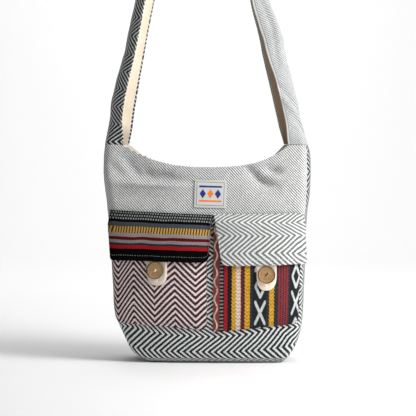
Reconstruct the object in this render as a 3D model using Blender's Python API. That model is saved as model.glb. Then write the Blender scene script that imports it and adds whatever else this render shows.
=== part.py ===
"""A small woven cotton jhola shoulder bag, hanging from the top of its strap.

Metres, +Z up. X runs across the bag, Y from front to back, and the front faces -Y.
The origin is on the underside of the strap, at the top of its arch, where a shoulder or a peg carries it.
Heights named "height" are measured up from the floor under the bag, and world() turns them into Z.
"""

import math
from collections import namedtuple

import bmesh
import bpy
from mathutils import Matrix, Vector

MM = 0.001

# Body of the bag
BODY_HEIGHT = 301 * MM
HALF_WIDTH = 144 * MM
GUSSET_WIDTH = 56 * MM
GUSSET_BELLY = 2 * MM
PANEL_BULGE = 16 * MM
CORNER_RADIUS = 12 * MM
BASE_ROUNDING = 10 * MM
YOKE_SEAM_HEIGHT = 204 * MM
MOUTH_DIP_FRONT = 30 * MM
MOUTH_DIP_BACK = 36 * MM

# Cloth layers and the clearances between them
PANEL_CLOTH = 1.8 * MM
LINING_CLOTH = 1.0 * MM
LAYER_GAP = 0.8 * MM
SEAM_GAP = 0.3 * MM

# Strap: a wide band folded lengthwise into a C that opens towards the inside of the loop
STRAP_RISE = 456 * MM
STRAP_FRONT_ARM = 37 * MM
STRAP_BACK_ARM = 39 * MM
STRAP_ARCH_RADIUS = 38 * MM
STRAP_ARCH_REACH = 10 * MM
STRAP_LEAST_DEPTH = 7 * MM
STRAP_ROOT_BLEND = 34 * MM
STRAP_HEM = 3 * MM

# Patch pockets, their flaps and the closures
POCKET_CLOTH = 1.6 * MM
POCKET_PUFF = 6.5 * MM
FLAP_CLOTH = 1.8 * MM
FLAP_CLEARANCE = 2.2 * MM
PATCH_CLEARANCE = 0.8 * MM
LOOP_CLOTH = 1.2 * MM
LOOP_CLEARANCE = 0.4 * MM
BUTTON_DIAMETER = 24 * MM
BUTTON_THICKNESS = 4.2 * MM
BUTTON_HOLE_DIAMETER = 2.4 * MM
BUTTON_HOLE_SPACING = 4.4 * MM
THREAD_DIAMETER = 1.6 * MM
LABEL_WIDTH = 44 * MM
LABEL_HEIGHT = 38 * MM
LABEL_CLOTH = 0.8 * MM

# Where the rounded corner starts and where the mouth ends, as shares of half a panel's width
FILLET_START = 0.8
MOUTH_END = 0.7
ARCH_START_ANGLE = math.radians(15)
HANG_HEIGHT = BODY_HEIGHT + STRAP_RISE - PANEL_CLOTH - LAYER_GAP - LINING_CLOTH

# Each row is one level of the body. Shares: height of BODY_HEIGHT, left and right of HALF_WIDTH,
# gusset of GUSSET_WIDTH, corner of CORNER_RADIUS and bulge of PANEL_BULGE.
Section = namedtuple("Section", "height left right gusset corner bulge")
SECTIONS = [
    Section(0.000, 0.530, 0.730, 1.00, 1.00, 0.30),
    Section(0.012, 0.590, 0.780, 1.00, 1.00, 0.40),
    Section(0.050, 0.695, 0.845, 1.00, 1.00, 0.58),
    Section(0.105, 0.757, 0.897, 1.00, 1.00, 0.76),
    Section(0.160, 0.810, 0.926, 0.99, 1.00, 0.88),
    Section(0.220, 0.862, 0.942, 0.98, 1.00, 0.96),
    Section(0.350, 0.880, 0.949, 0.95, 1.00, 1.00),
    Section(0.500, 0.897, 0.962, 0.90, 1.00, 1.00),
    Section(0.690, 0.930, 0.990, 0.80, 1.00, 0.85),
    Section(0.750, 0.940, 1.000, 0.74, 1.00, 0.74),
    Section(0.840, 0.967, 1.018, 0.64, 0.95, 0.52),
    Section(0.930, 0.970, 1.010, 0.50, 0.84, 0.32),
    Section(1.000, 0.958, 0.995, 0.38, 0.72, 0.20),
]

# Each row is one dent (depth above 0) or ridge (depth below 0) of the front. Shares: x of HALF_WIDTH,
# height of BODY_HEIGHT, length and width of HALF_WIDTH, depth of PANEL_BULGE. The angle is in degrees.
Fold = namedtuple("Fold", "x height length width depth angle")
FRONT_FOLDS = [
    Fold(0.47, 0.850, 0.26, 0.095, 0.22, -37),
    Fold(-0.64, 0.900, 0.24, 0.100, 0.18, -25),
    Fold(-0.45, 0.805, 0.32, 0.095, -0.14, 0),
    Fold(0.68, 0.750, 0.26, 0.095, -0.12, 10),
]

# Each row is a station of one half of the strap. Shares: rise of STRAP_RISE, fold of HALF_WIDTH,
# front of STRAP_FRONT_ARM and back of STRAP_BACK_ARM, which say how far inward each arm reaches.
Station = namedtuple("Station", "rise fold front back")
STRAP_LEFT = [
    Station(0.000, 0.955, 0.64, 0.88),
    Station(0.074, 0.930, 0.50, 0.83),
    Station(0.147, 0.893, 0.42, 0.82),
    Station(0.221, 0.840, 0.41, 0.77),
    Station(0.295, 0.778, 0.39, 0.69),
    Station(0.368, 0.724, 0.38, 0.64),
    Station(0.442, 0.671, 0.37, 0.62),
    Station(0.614, 0.527, 0.37, 0.52),
    Station(0.768, 0.397, 0.35, 0.42),
]
STRAP_RIGHT = [
    Station(0.000, 0.995, 0.64, 0.83),
    Station(0.074, 0.933, 0.56, 0.83),
    Station(0.147, 0.878, 0.51, 0.82),
    Station(0.221, 0.826, 0.61, 0.83),
    Station(0.258, 0.797, 0.66, 0.83),
    Station(0.295, 0.776, 0.78, 0.85),
    Station(0.332, 0.749, 0.86, 0.83),
    Station(0.368, 0.711, 0.82, 0.79),
    Station(0.442, 0.622, 0.64, 0.68),
    Station(0.614, 0.495, 0.50, 0.54),
    Station(0.768, 0.380, 0.40, 0.43),
]

# Patches lie on the front. Shares: the left and right edges' top and low ends, of half a panel's width
# (below 0 is left of the middle); heights of YOKE_SEAM_HEIGHT, at the left and the right; corner of HALF_WIDTH.
Patch = namedtuple(
    "Patch",
    "left left_low right right_low top_left top_right bottom_left bottom_right corner_left corner_right",
)
POCKET_LEFT_AT = Patch(-0.905, -0.905, 0.030, 0.030, 0.930, 0.930, 0.278, 0.232, 0.055, 0.055)
POCKET_RIGHT_AT = Patch(0.085, 0.085, 0.860, 0.860, 0.930, 0.930, 0.218, 0.274, 0.030, 0.030)
FLAP_LEFT_AT = Patch(-0.875, -0.875, 0.076, 0.046, 1.037, 1.006, 0.700, 0.687, 0.030, 0.060)
FLAP_RIGHT_AT = Patch(0.088, 0.150, 0.880, 0.915, 1.011, 1.017, 0.666, 0.677, 0.065, 0.030)

# Closures: the centre of each button and its cloth loop, as shares of HALF_WIDTH across and of
# YOKE_SEAM_HEIGHT up, and the button's turn about the vertical in degrees
Closure = namedtuple("Closure", "x height loop_x loop_half_width loop_top loop_bottom turn")
CLOSURE_LEFT = Closure(-0.455, 0.632, -0.436, 0.098, 0.760, 0.534, 14)
CLOSURE_RIGHT = Closure(0.590, 0.610, 0.591, 0.094, 0.740, 0.502, -6)

# The flaps leave the front at this share of YOKE_SEAM_HEIGHT
FLAP_LIFT_START = 1.030
LABEL_X = 0.062
LABEL_UP_YOKE = 0.308
LABEL_TURN = math.radians(-1.5)

Level = namedtuple("Level", "left right gusset corner bulge")


def world(x, y, height):
    """A point at a height above the floor, in the part's own frame."""
    return Vector((x, y, height - HANG_HEIGHT))


def blend(a, b, share):
    return a + (b - a) * share


def ease(share):
    """Runs from 0 to 1 with no slope at either end."""
    share = min(max(share, 0.0), 1.0)
    return share * share * (3 - 2 * share)


def slope_at(rows, column, k):
    before = rows[max(k - 1, 0)]
    after = rows[min(k + 1, len(rows) - 1)]
    return (getattr(after, column) - getattr(before, column)) / (after[0] - before[0])


def look_up(rows, column, at):
    """A column's value between rows, on a smooth curve through them. The first column is the position."""
    at = min(max(at, rows[0][0]), rows[-1][0])
    k = max(i for i in range(len(rows) - 1) if rows[i][0] <= at)
    span = rows[k + 1][0] - rows[k][0]
    s = (at - rows[k][0]) / span
    low = getattr(rows[k], column)
    high = getattr(rows[k + 1], column)
    low_slope = slope_at(rows, column, k) * span
    high_slope = slope_at(rows, column, k + 1) * span
    return (
        low * (1 + 2 * s) * (1 - s) ** 2
        + low_slope * s * (1 - s) ** 2
        + high * s * s * (3 - 2 * s)
        + high_slope * s * s * (s - 1)
    )


def level_at(height):
    """The body's real sizes at a height above the floor."""
    at = height / BODY_HEIGHT
    return Level(
        look_up(SECTIONS, "left", at) * HALF_WIDTH,
        look_up(SECTIONS, "right", at) * HALF_WIDTH,
        look_up(SECTIONS, "gusset", at) * GUSSET_WIDTH,
        look_up(SECTIONS, "corner", at) * CORNER_RADIUS,
        look_up(SECTIONS, "bulge", at) * PANEL_BULGE,
    )


def across(t, level):
    """X and the share of the corner's depth, at share t of half a panel's width."""
    half = level.left if t < 0 else level.right
    flat = half - level.corner
    if abs(t) <= FILLET_START:
        return flat * t / FILLET_START, 1.0
    angle = (1 - abs(t)) / (1 - FILLET_START) * math.pi / 2
    return math.copysign(half - level.corner * (1 - math.cos(angle)), t), math.sin(angle)


def fold_depth(x, height):
    """How far the front is dented at a place."""
    depth = 0.0
    for fold in FRONT_FOLDS:
        dx = x - fold.x * HALF_WIDTH
        dz = height - fold.height * BODY_HEIGHT
        turn = math.radians(fold.angle)
        along = (dx * math.cos(turn) + dz * math.sin(turn)) / (fold.length * HALF_WIDTH)
        beside = (dz * math.cos(turn) - dx * math.sin(turn)) / (fold.width * HALF_WIDTH)
        depth += fold.depth * PANEL_BULGE * math.exp(-along * along - beside * beside)
    return depth


def panel_point(t, height, side):
    """The outer face of the front (side -1) or the back (side 1)."""
    level = level_at(height)
    x, corner_share = across(t, level)
    half = level.left if t < 0 else level.right
    base = min(height / BASE_ROUNDING, 1.0)
    base_share = math.sqrt(max(1 - (1 - base) ** 2, 0.0))
    belly = level.bulge * (1 - abs(x / half) ** 2.4)
    if side < 0:
        belly -= fold_depth(x, height) * corner_share
    depth = level.gusset / 2 + (level.corner * corner_share + belly) * base_share
    return world(x, side * depth, height)


def outline_normal(height, sign):
    """The outward direction of the bag's outline, in the plane of the front, on side sign."""
    if height <= 0:
        return Vector((0, 0, -1))
    step = 0.5 * MM
    low = level_at(max(height - step, 0))
    high = level_at(min(height + step, BODY_HEIGHT))
    rise = min(height + step, BODY_HEIGHT) - max(height - step, 0)
    widening = (high.right - low.right if sign > 0 else high.left - low.left) / rise
    return Vector((sign, 0, -widening)).normalized()


def panel_normal(t, height, side):
    """Outward direction of the front or back. Along its sewn edges it is the outline's own."""
    if abs(t) > 0.999 or height <= 0:
        return outline_normal(height, math.copysign(1, t))
    step_t = 0.002
    step_h = 0.2 * MM
    t = min(max(t, -1 + step_t), 1 - step_t)
    height = min(max(height, step_h), BODY_HEIGHT - step_h)
    by_t = panel_point(t + step_t, height, side) - panel_point(t - step_t, height, side)
    by_h = panel_point(t, height + step_h, side) - panel_point(t, height - step_h, side)
    normal = by_t.cross(by_h).normalized()
    return normal if normal.y * side > 0 else -normal


def on_panel(t, height, side, out):
    """A point at a distance outward from the front or the back."""
    return panel_point(t, height, side) + panel_normal(t, height, side) * out


def gusset_point(height, sign, share, out):
    """A point of the side strip. share runs from -1 at the front seam to 1 at the back seam."""
    level = level_at(height)
    half = level.right if sign > 0 else level.left
    normal = outline_normal(height, sign)
    belly = GUSSET_BELLY * (1 - share * share) * ease(height / BASE_ROUNDING)
    edge = level.gusset / 2 - SEAM_GAP / 2
    return world(sign * half, share * edge, height) + normal * (belly + out)


def mouth_height(t, side):
    """The height of a panel's top edge. It dips between the two horns that carry the strap."""
    if abs(t) >= MOUTH_END:
        return BODY_HEIGHT
    dip = MOUTH_DIP_FRONT if side < 0 else MOUTH_DIP_BACK
    steepness = 2.3 if t < 0 else 3.6
    return BODY_HEIGHT - dip * (1 - (abs(t) / MOUTH_END) ** steepness)


def panel_columns(between):
    """Shares across a panel: evenly spaced between the mouth's ends, then the rounded corners."""
    half = [MOUTH_END * k / between for k in range(between + 1)]
    half += [FILLET_START + (1 - FILLET_START) * k / 3 for k in range(4)]
    return [-t for t in reversed(half[1:])] + half


def base_rows():
    """Heights of the first rows, round the base's curve."""
    return [BASE_ROUNDING * (1 - math.cos(math.radians(a))) for a in (0, 30, 60, 90)]


def rows_up_to(top, shares):
    """Heights from the floor to top: round the base, then at shares of the rest."""
    start = base_rows()
    return start + [blend(start[-1], top, share) for share in shares]


LOWER_SHARES = (0.035, 0.07, 0.12, 0.18, 0.27, 0.40, 0.60, 0.80, 1.0)
BACK_SHARES = (0.07, 0.16, 0.30, 0.60, 1.0)
UPPER_SHARES = (0.2, 0.4, 0.6, 0.8, 1.0)


def new_object(name, mesh, material):
    mesh.materials.append(material)
    mesh.shade_smooth()
    mesh.set_sharp_from_angle(angle=math.radians(40))
    made = bpy.data.objects.new(name, mesh)
    bpy.context.scene.collection.objects.link(made)
    return made


def mesh_from(name, points, faces):
    """A closed mesh with its faces pointing out."""
    mesh = bpy.data.meshes.new(name)
    mesh.from_pydata([tuple(p) for p in points], [], faces)
    shaped = bmesh.new()
    shaped.from_mesh(mesh)
    bmesh.ops.triangulate(shaped, faces=shaped.faces, quad_method="FIXED")
    bmesh.ops.recalc_face_normals(shaped, faces=shaped.faces)
    if shaped.calc_volume(signed=True) < 0:
        bmesh.ops.reverse_faces(shaped, faces=shaped.faces)
    shaped.to_mesh(mesh)
    shaped.free()
    return mesh


def grid_faces(rows, columns, start=0):
    return [
        (
            start + r * columns + c,
            start + r * columns + c + 1,
            start + (r + 1) * columns + c + 1,
            start + (r + 1) * columns + c,
        )
        for r in range(rows - 1)
        for c in range(columns - 1)
    ]


def sheet(name, outer, inner, material):
    """A sheet of cloth between two grids of points, closed round its rim."""
    rows = len(outer)
    columns = len(outer[0])
    count = rows * columns
    points = [p for row in outer for p in row] + [p for row in inner for p in row]
    faces = grid_faces(rows, columns)
    faces += [(a, d, c, b) for a, b, c, d in grid_faces(rows, columns, count)]
    rim = [c for c in range(columns)]
    rim += [r * columns + columns - 1 for r in range(1, rows)]
    rim += [(rows - 1) * columns + c for c in range(columns - 2, -1, -1)]
    rim += [r * columns for r in range(rows - 2, 0, -1)]
    for k, at in enumerate(rim):
        after = rim[(k + 1) % len(rim)]
        faces.append((at, after, after + count, at + count))
    return new_object(name, mesh_from(name, points, faces), material)


def cloth(name, place, first, second, out, thickness, material):
    """A sheet whose points are place(a, b, distance) for each a of first and b of second."""
    outer = [[place(a, b, out) for b in second] for a in first]
    inner = [[place(a, b, out - thickness) for b in second] for a in first]
    return sheet(name, outer, inner, material)


def edge_inset(t, height):
    """Panels stop half a seam gap short of the gusset: the shift along Y at their sewn edges."""
    return SEAM_GAP / 2 if abs(t) > 0.999 or height <= 0 else 0.0


def panel_place(side):
    def place(height, t, out):
        point = on_panel(t, height, side, out)
        point.y += side * edge_inset(t, height)
        return point

    return place


def make_yoke(material):
    """The upper front, between the seam over the pockets and the mouth."""
    low = YOKE_SEAM_HEIGHT + SEAM_GAP / 2
    place = panel_place(-1)
    shares = (0.0,) + UPPER_SHARES

    def placed(share, t, out):
        return place(blend(low, mouth_height(t, -1), share), t, out)

    return cloth("yoke_front", placed, shares, panel_columns(6), 0.0, PANEL_CLOTH, material)


def make_lower_front(material):
    rows = rows_up_to(YOKE_SEAM_HEIGHT - SEAM_GAP / 2, LOWER_SHARES)
    return cloth("lower_front", panel_place(-1), rows, panel_columns(6), 0.0, PANEL_CLOTH, material)


def make_back(material):
    """The back is one piece, from the base to the mouth."""
    place = panel_place(1)
    rows = rows_up_to(YOKE_SEAM_HEIGHT, BACK_SHARES)
    shares = [(row, None) for row in rows] + [(None, share) for share in UPPER_SHARES]

    def placed(at, t, out):
        row, share = at
        height = row if share is None else blend(YOKE_SEAM_HEIGHT, mouth_height(t, 1), share)
        return place(height, t, out)

    return cloth("back_panel", placed, shares, panel_columns(6), 0.0, PANEL_CLOTH, material)


def outline_route(base_steps):
    """Places along the bag's outline: down the left side, across the base and up the right side."""
    upper = [blend(YOKE_SEAM_HEIGHT, BODY_HEIGHT, share) for share in UPPER_SHARES]
    side = rows_up_to(YOKE_SEAM_HEIGHT, LOWER_SHARES) + upper
    route = [(-1, height, None) for height in reversed(side)]
    route += [(0, 0.0, k / base_steps) for k in range(1, base_steps)]
    return route + [(1, height, None) for height in side]


def strip_point(at, share, out):
    """A point of the side and base strip."""
    sign, height, along = at
    if sign:
        return gusset_point(height, sign, share, out)
    level = level_at(0.0)
    edge = level.gusset / 2 - SEAM_GAP / 2
    return world(blend(-level.left, level.right, along), share * edge, -out)


def make_gusset(material):
    """One strip that makes both sides and the flat base."""
    return cloth("side_gusset", strip_point, outline_route(6), (-1, -1 / 3, 1 / 3, 1), 0.0, PANEL_CLOTH, material)


def lining_loop(share, columns, out):
    """One closed ring of the lining. share is (height, None) low down, or (None, share) up to the mouth."""
    row, up = share
    ring = []
    for side, order in ((-1, columns), (1, columns[::-1])):
        for t in order:
            height = row if up is None else blend(YOKE_SEAM_HEIGHT, mouth_height(t, side), up)
            ring.append(on_panel(t, height, side, out))
        sign = 1 if side < 0 else -1
        height = row if up is None else blend(YOKE_SEAM_HEIGHT, BODY_HEIGHT, up)
        for place in (-1 / 3, 1 / 3):
            ring.append(gusset_point(height, sign, -side * place, out))
    return ring


def make_lining(material):
    """The lining is one pouch with its own base, open at the mouth."""
    columns = panel_columns(6)
    low_rows = rows_up_to(YOKE_SEAM_HEIGHT, BACK_SHARES)
    shares = [(row, None) for row in low_rows] + [(None, share) for share in UPPER_SHARES]
    outside = -(PANEL_CLOTH + LAYER_GAP)
    inside = outside - LINING_CLOTH
    points = []
    starts = []
    for out in (outside, inside):
        starts.append(len(points))
        for share in shares:
            points += lining_loop(share, columns, out)
    around = 2 * len(columns) + 4
    faces = []
    for start in starts:
        for r in range(len(shares) - 1):
            for c in range(around):
                after = (c + 1) % around
                low = start + r * around
                faces.append((low + c, low + after, low + around + after, low + around + c))
    for start in starts:
        faces += lining_base(points, start, len(columns))
    top = (len(shares) - 1) * around
    for c in range(around):
        after = (c + 1) % around
        faces.append((starts[0] + top + c, starts[0] + top + after, starts[1] + top + after, starts[1] + top + c))
    return new_object("bag_lining", mesh_from("bag_lining", points, faces), material)


def lining_base(points, start, count):
    """Faces that close the lining's first ring with a base, adding the two inner lines of points."""
    front = [start + k for k in range(count)]
    right = [start + count, start + count + 1]
    back = [start + 2 * count + 1 - k for k in range(count)]
    left = [start + 2 * count + 3, start + 2 * count + 2]
    lines = [front]
    for n, (left_end, right_end) in enumerate(zip(left, right)):
        line = [left_end]
        for k in range(1, count - 1):
            line.append(len(points))
            points.append(blend(points[front[k]], points[back[k]], (n + 1) / 3))
        lines.append(line + [right_end])
    lines.append(back)
    return [
        (lines[r][c], lines[r][c + 1], lines[r + 1][c + 1], lines[r + 1][c])
        for r in range(3)
        for c in range(count - 1)
    ]


Spine = namedtuple("Spine", "at x height front back")


def spine_rows(stations):
    """The strap's fold line from the bag to the top, as rows along its length."""
    rows = [
        (s.fold * HALF_WIDTH, BODY_HEIGHT + s.rise * STRAP_RISE, s.front * STRAP_FRONT_ARM, s.back * STRAP_BACK_ARM)
        for s in stations
    ]
    centre = BODY_HEIGHT + STRAP_RISE - STRAP_ARCH_RADIUS
    steps = 5
    for k in range(steps + 1):
        angle = blend(ARCH_START_ANGLE, math.pi / 2, k / steps)
        reach = blend(stations[-1].front * STRAP_FRONT_ARM, STRAP_ARCH_REACH, (k + 1) / (steps + 1))
        x = STRAP_ARCH_RADIUS * math.cos(angle)
        rows.append((x, centre + STRAP_ARCH_RADIUS * math.sin(angle), reach, reach))
    made = []
    length = 0.0
    for k, row in enumerate(rows):
        if k:
            length += math.hypot(row[0] - rows[k - 1][0], row[1] - rows[k - 1][1])
        made.append((length, *row))
    return [Spine(row[0] / length, *row[1:]) for row in made]


def horn_point(sign, share):
    """The body's own section at the foot of the strap, from the mouth's front end round to its back end."""
    level = level_at(BODY_HEIGHT)
    half = level.right if sign > 0 else level.left
    flat = half - level.corner
    straight = flat * (1 - MOUTH_END / FILLET_START)
    arc = level.corner * math.pi / 2
    arm = straight + arc
    full = 2 * arm + level.gusset
    run = abs(share) * full / 2
    side = -1 if share < 0 else 1
    if run <= level.gusset / 2:
        place = run / (level.gusset / 2)
        belly = GUSSET_BELLY * (1 - place * place)
        return world(sign * (half + belly), side * run, BODY_HEIGHT)
    run -= level.gusset / 2
    if run <= arc:
        t = 1 - (1 - FILLET_START) * run / arc
    else:
        t = FILLET_START - (FILLET_START - MOUTH_END) * (run - arc) / straight
    return panel_point(sign * t, BODY_HEIGHT, side)


def arm_depth(arm, reach):
    """How far an arm of the folded strap stands out along Y, so that its width stays what it is."""
    radius = 2 * arm / math.pi
    return math.sqrt(max(2 * radius * radius - reach * reach, STRAP_LEAST_DEPTH ** 2))


def strap_point(sign, rows, along, share):
    """The strap's outer face. along runs up the strap, share from its front edge to its back edge."""
    step = 0.004
    x = look_up(rows, "x", along)
    height = look_up(rows, "height", along)
    dx = look_up(rows, "x", along + step) - look_up(rows, "x", along - step)
    dh = look_up(rows, "height", along + step) - look_up(rows, "height", along - step)
    if along >= 1 - step:
        dx, dh = -1.0, 0.0
    inward = Vector((-dh, 0, dx)).normalized()
    arm = STRAP_FRONT_ARM if share < 0 else STRAP_BACK_ARM
    reach = look_up(rows, "front" if share < 0 else "back", along)
    depth = arm_depth(arm, reach)
    angle = abs(share) * math.pi / 2
    point = world(x, 0, height) + inward * reach * (1 - math.cos(angle))
    point.y = math.copysign(depth * math.sin(angle), share)
    point.x *= sign
    rise = height - BODY_HEIGHT
    foot = horn_point(sign, share) + Vector((0, 0, rise))
    foot.x += sign * (x - rows[0].x)
    return foot.lerp(point, ease(rise / STRAP_ROOT_BLEND))


def on_strap(sign, rows, along, share, out):
    """A point at a distance outward from the strap's outer face."""
    step = 0.004
    low = max(along - step, 0)
    high = min(along + step, 1)
    by_along = strap_point(sign, rows, high, share) - strap_point(sign, rows, low, share)
    left = max(share - 0.01, -1)
    right = min(share + 0.01, 1)
    by_share = strap_point(sign, rows, along, right) - strap_point(sign, rows, along, left)
    normal = by_share.cross(by_along).normalized() * sign
    if along <= 0:
        normal = Vector((normal.x, normal.y, 0)).normalized()
    if along >= 1:
        normal = Vector((0, normal.y, normal.z)).normalized()
    return strap_point(sign, rows, along, share) + normal * out


def strap_stations(rows):
    """Where the strap's rings of points lie: close along the folds and the arch, wide between them."""
    arch = rows[-6].at
    folded = arch * 0.5
    stations = [folded * k / 10 for k in range(11)]
    stations += [blend(folded, arch, k / 3) for k in range(1, 4)]
    return stations + [blend(arch, 1.0, k / 5) for k in range(1, 6)]


def make_strap(name, stations, sign, inset, out, thickness, segments, material):
    """One half of the strap, or of its lining, which stops short of the strap's edges by inset."""
    rows = spine_rows(stations)
    length_end = SEAM_GAP / 2
    shares = [-1 + 2 * k / segments for k in range(segments + 1)]

    def placed(along, share, distance):
        arm = STRAP_FRONT_ARM if share < 0 else STRAP_BACK_ARM
        point = on_strap(sign, rows, along, share, distance)
        if abs(share) == 1:
            beside = on_strap(sign, rows, along, share * (1 - 2 / segments), distance)
            point = point.lerp(beside, inset / arm * segments / 2)
        if along <= 0:
            point.z += SEAM_GAP
        if along >= 1:
            point.x = sign * length_end
        return point

    return cloth(name, placed, strap_stations(rows), shares, out, thickness, material)


def patch_height(patch, u, v):
    """The height at share u across (-1 to 1) and v up (0 to 1) a patch with rounded lower corners."""
    share = (u + 1) / 2
    low = blend(patch.bottom_left, patch.bottom_right, share) * YOKE_SEAM_HEIGHT
    high = blend(patch.top_left, patch.top_right, share) * YOKE_SEAM_HEIGHT
    corner = (patch.corner_left if u < 0 else patch.corner_right) * HALF_WIDTH
    width = (patch.right - patch.left) * HALF_WIDTH
    past = max(abs(u) - (1 - 2 * corner / width), 0.0) / (2 * corner / width)
    low += corner * (1 - math.sqrt(max(1 - past * past, 0.0)))
    return blend(low, high, v)


def patch_across(patch, u, v):
    """The share of half a panel's width at share u across and v up a patch."""
    left = blend(patch.left_low, patch.left, v)
    right = blend(patch.right_low, patch.right, v)
    return blend(left, right, (u + 1) / 2)


def patch_columns(count):
    """Shares across a patch, closer together at its rounded corners."""
    return [math.sin(math.pi / 2 * (-1 + 2 * k / count)) for k in range(count + 1)]


def pocket_puff(patch, t, height):
    """How far a pocket stands off the front at a place: sewn down at its sides and base, open on top."""
    u = (t - (patch.left + patch.right) / 2) / ((patch.right - patch.left) / 2)
    low = patch_height(patch, max(min(u, 0.999), -0.999), 0)
    high = patch_height(patch, max(min(u, 0.999), -0.999), 1)
    v = min(max((height - low) / (high - low), 0.0), 1.0)
    return POCKET_PUFF * max(1 - abs(u) ** 4, 0.0) * (1 - (1 - v) ** 3)


def make_pocket(name, patch, material):
    def placed(v, u, out):
        t = patch_across(patch, u, v)
        height = patch_height(patch, u, v)
        return on_panel(t, height, -1, pocket_puff(patch, t, height) + out)

    rows = (0, 0.1, 0.22, 0.36, 0.52, 0.68, 0.84, 1)
    return cloth(name, placed, rows, patch_columns(12), PATCH_CLEARANCE + POCKET_CLOTH, POCKET_CLOTH, material)


def over_pocket(patch, t, height):
    """The distance from the front to a pocket's outer face."""
    return PATCH_CLEARANCE + POCKET_CLOTH + pocket_puff(patch, t, height)


def flap_rise(pocket, t, height):
    """The distance from the front to a flap's inner face: sewn down on top, then over the pocket."""
    seam = FLAP_LIFT_START * YOKE_SEAM_HEIGHT
    edge = pocket.top_left * YOKE_SEAM_HEIGHT
    lift = 1 - ease((height - edge) / (seam - edge))
    return PATCH_CLEARANCE + lift * (over_pocket(pocket, t, height) - PATCH_CLEARANCE + FLAP_CLEARANCE)


def make_flap(name, patch, pocket, material):
    def placed(v, u, out):
        t = patch_across(patch, u, v)
        height = patch_height(patch, u, v)
        return on_panel(t, height, -1, flap_rise(pocket, t, height) + out)

    rows = (0, 0.08, 0.22, 0.40, 0.58, 0.72, 0.82, 0.91, 1)
    return cloth(name, placed, rows, patch_columns(12), FLAP_CLOTH, FLAP_CLOTH, material)


def share_across(x, height):
    """The share of half a panel's width at which the front has a given x."""
    level = level_at(height)
    half = level.left if x < 0 else level.right
    return x / (half - level.corner) * FILLET_START


def closure_frame(closure, pocket, out):
    """The button's place on its pocket: its centre, and a rotation that turns +Z to face outward."""
    x = closure.x * HALF_WIDTH
    height = closure.height * YOKE_SEAM_HEIGHT
    t = share_across(x, height)
    normal = panel_normal(t, height, -1)
    centre = panel_point(t, height, -1) + normal * (over_pocket(pocket, t, height) + out)
    turn = normal.to_track_quat("Z", "Y").to_matrix().to_4x4()
    return centre, turn, normal


def make_loop(name, closure, pocket, material):
    """The cloth loop that hangs from under the flap, with the slit that the button has come through."""
    half_width = closure.loop_half_width * HALF_WIDTH
    top = closure.loop_top * YOKE_SEAM_HEIGHT
    bottom = closure.loop_bottom * YOKE_SEAM_HEIGHT
    middle_x = closure.loop_x * HALF_WIDTH
    button_x = closure.x * HALF_WIDTH
    button_height = closure.height * YOKE_SEAM_HEIGHT
    slit_x = BUTTON_HOLE_SPACING / 2 + 2.2 * THREAD_DIAMETER
    slit_z = 1.5 * THREAD_DIAMETER
    sides = 24
    rings = []
    for share in (1.0, 0.6, 0.0):
        ring = []
        for k in range(sides):
            angle = 2 * math.pi * k / sides
            across_share = math.sin(angle)
            up_share = -math.cos(angle)
            round_end = abs(up_share) ** 0.7 if up_share < 0 else up_share ** 0.45
            outer_x = middle_x + half_width * math.copysign(abs(across_share) ** 0.75, across_share)
            reach = (top - bottom) / 2
            outer_z = (top + bottom) / 2 + math.copysign(round_end, up_share) * reach
            slit = (button_x + slit_x * across_share, button_height + slit_z * up_share)
            ring.append((blend(slit[0], outer_x, share), blend(slit[1], outer_z, share)))
        rings.append(ring)
    points = []
    for out in (LOOP_CLEARANCE + LOOP_CLOTH, LOOP_CLEARANCE):
        for ring in rings:
            for x, height in ring:
                t = share_across(x, height)
                points.append(on_panel(t, height, -1, over_pocket(pocket, t, height) + out))
    faces = []
    layer = len(rings) * sides
    for k in range(sides):
        after = (k + 1) % sides
        for r in range(len(rings) - 1):
            low = r * sides
            high = low + sides
            faces.append((low + k, low + after, high + after, high + k))
            faces.append((layer + high + k, layer + high + after, layer + low + after, layer + low + k))
        for r in (0, (len(rings) - 1) * sides):
            faces.append((r + k, r + after, layer + r + after, layer + r + k))
    return new_object(name, mesh_from(name, points, faces), material)


def turned(profile, sides):
    """A closed turned body round +Z from (radius, z) pairs, whose first and last points are on the axis."""
    points = [Vector((0, 0, profile[0][1]))]
    for radius, z in profile[1:-1]:
        for k in range(sides):
            angle = 2 * math.pi * k / sides
            points.append(Vector((radius * math.cos(angle), radius * math.sin(angle), z)))
    points.append(Vector((0, 0, profile[-1][1])))
    rings = len(profile) - 2
    faces = []
    for k in range(sides):
        after = (k + 1) % sides
        faces.append((0, 1 + k, 1 + after))
        for r in range(rings - 1):
            low = 1 + r * sides
            faces.append((low + k, low + sides + k, low + sides + after, low + after))
        faces.append((1 + (rings - 1) * sides + k, len(points) - 1, 1 + (rings - 1) * sides + after))
    return points, faces


def cutter(name, radius, length, at):
    """A round cutter along +Z, hidden from the build."""
    points, faces = turned([(0, -length / 2), (radius, -length / 2), (radius, length / 2), (0, length / 2)], 10)
    made = bpy.data.objects.new(name, mesh_from(name, points, faces))
    bpy.context.scene.collection.objects.link(made)
    made.matrix_world = at
    made.hide_render = True
    made.display_type = "WIRE"
    return made


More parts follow.
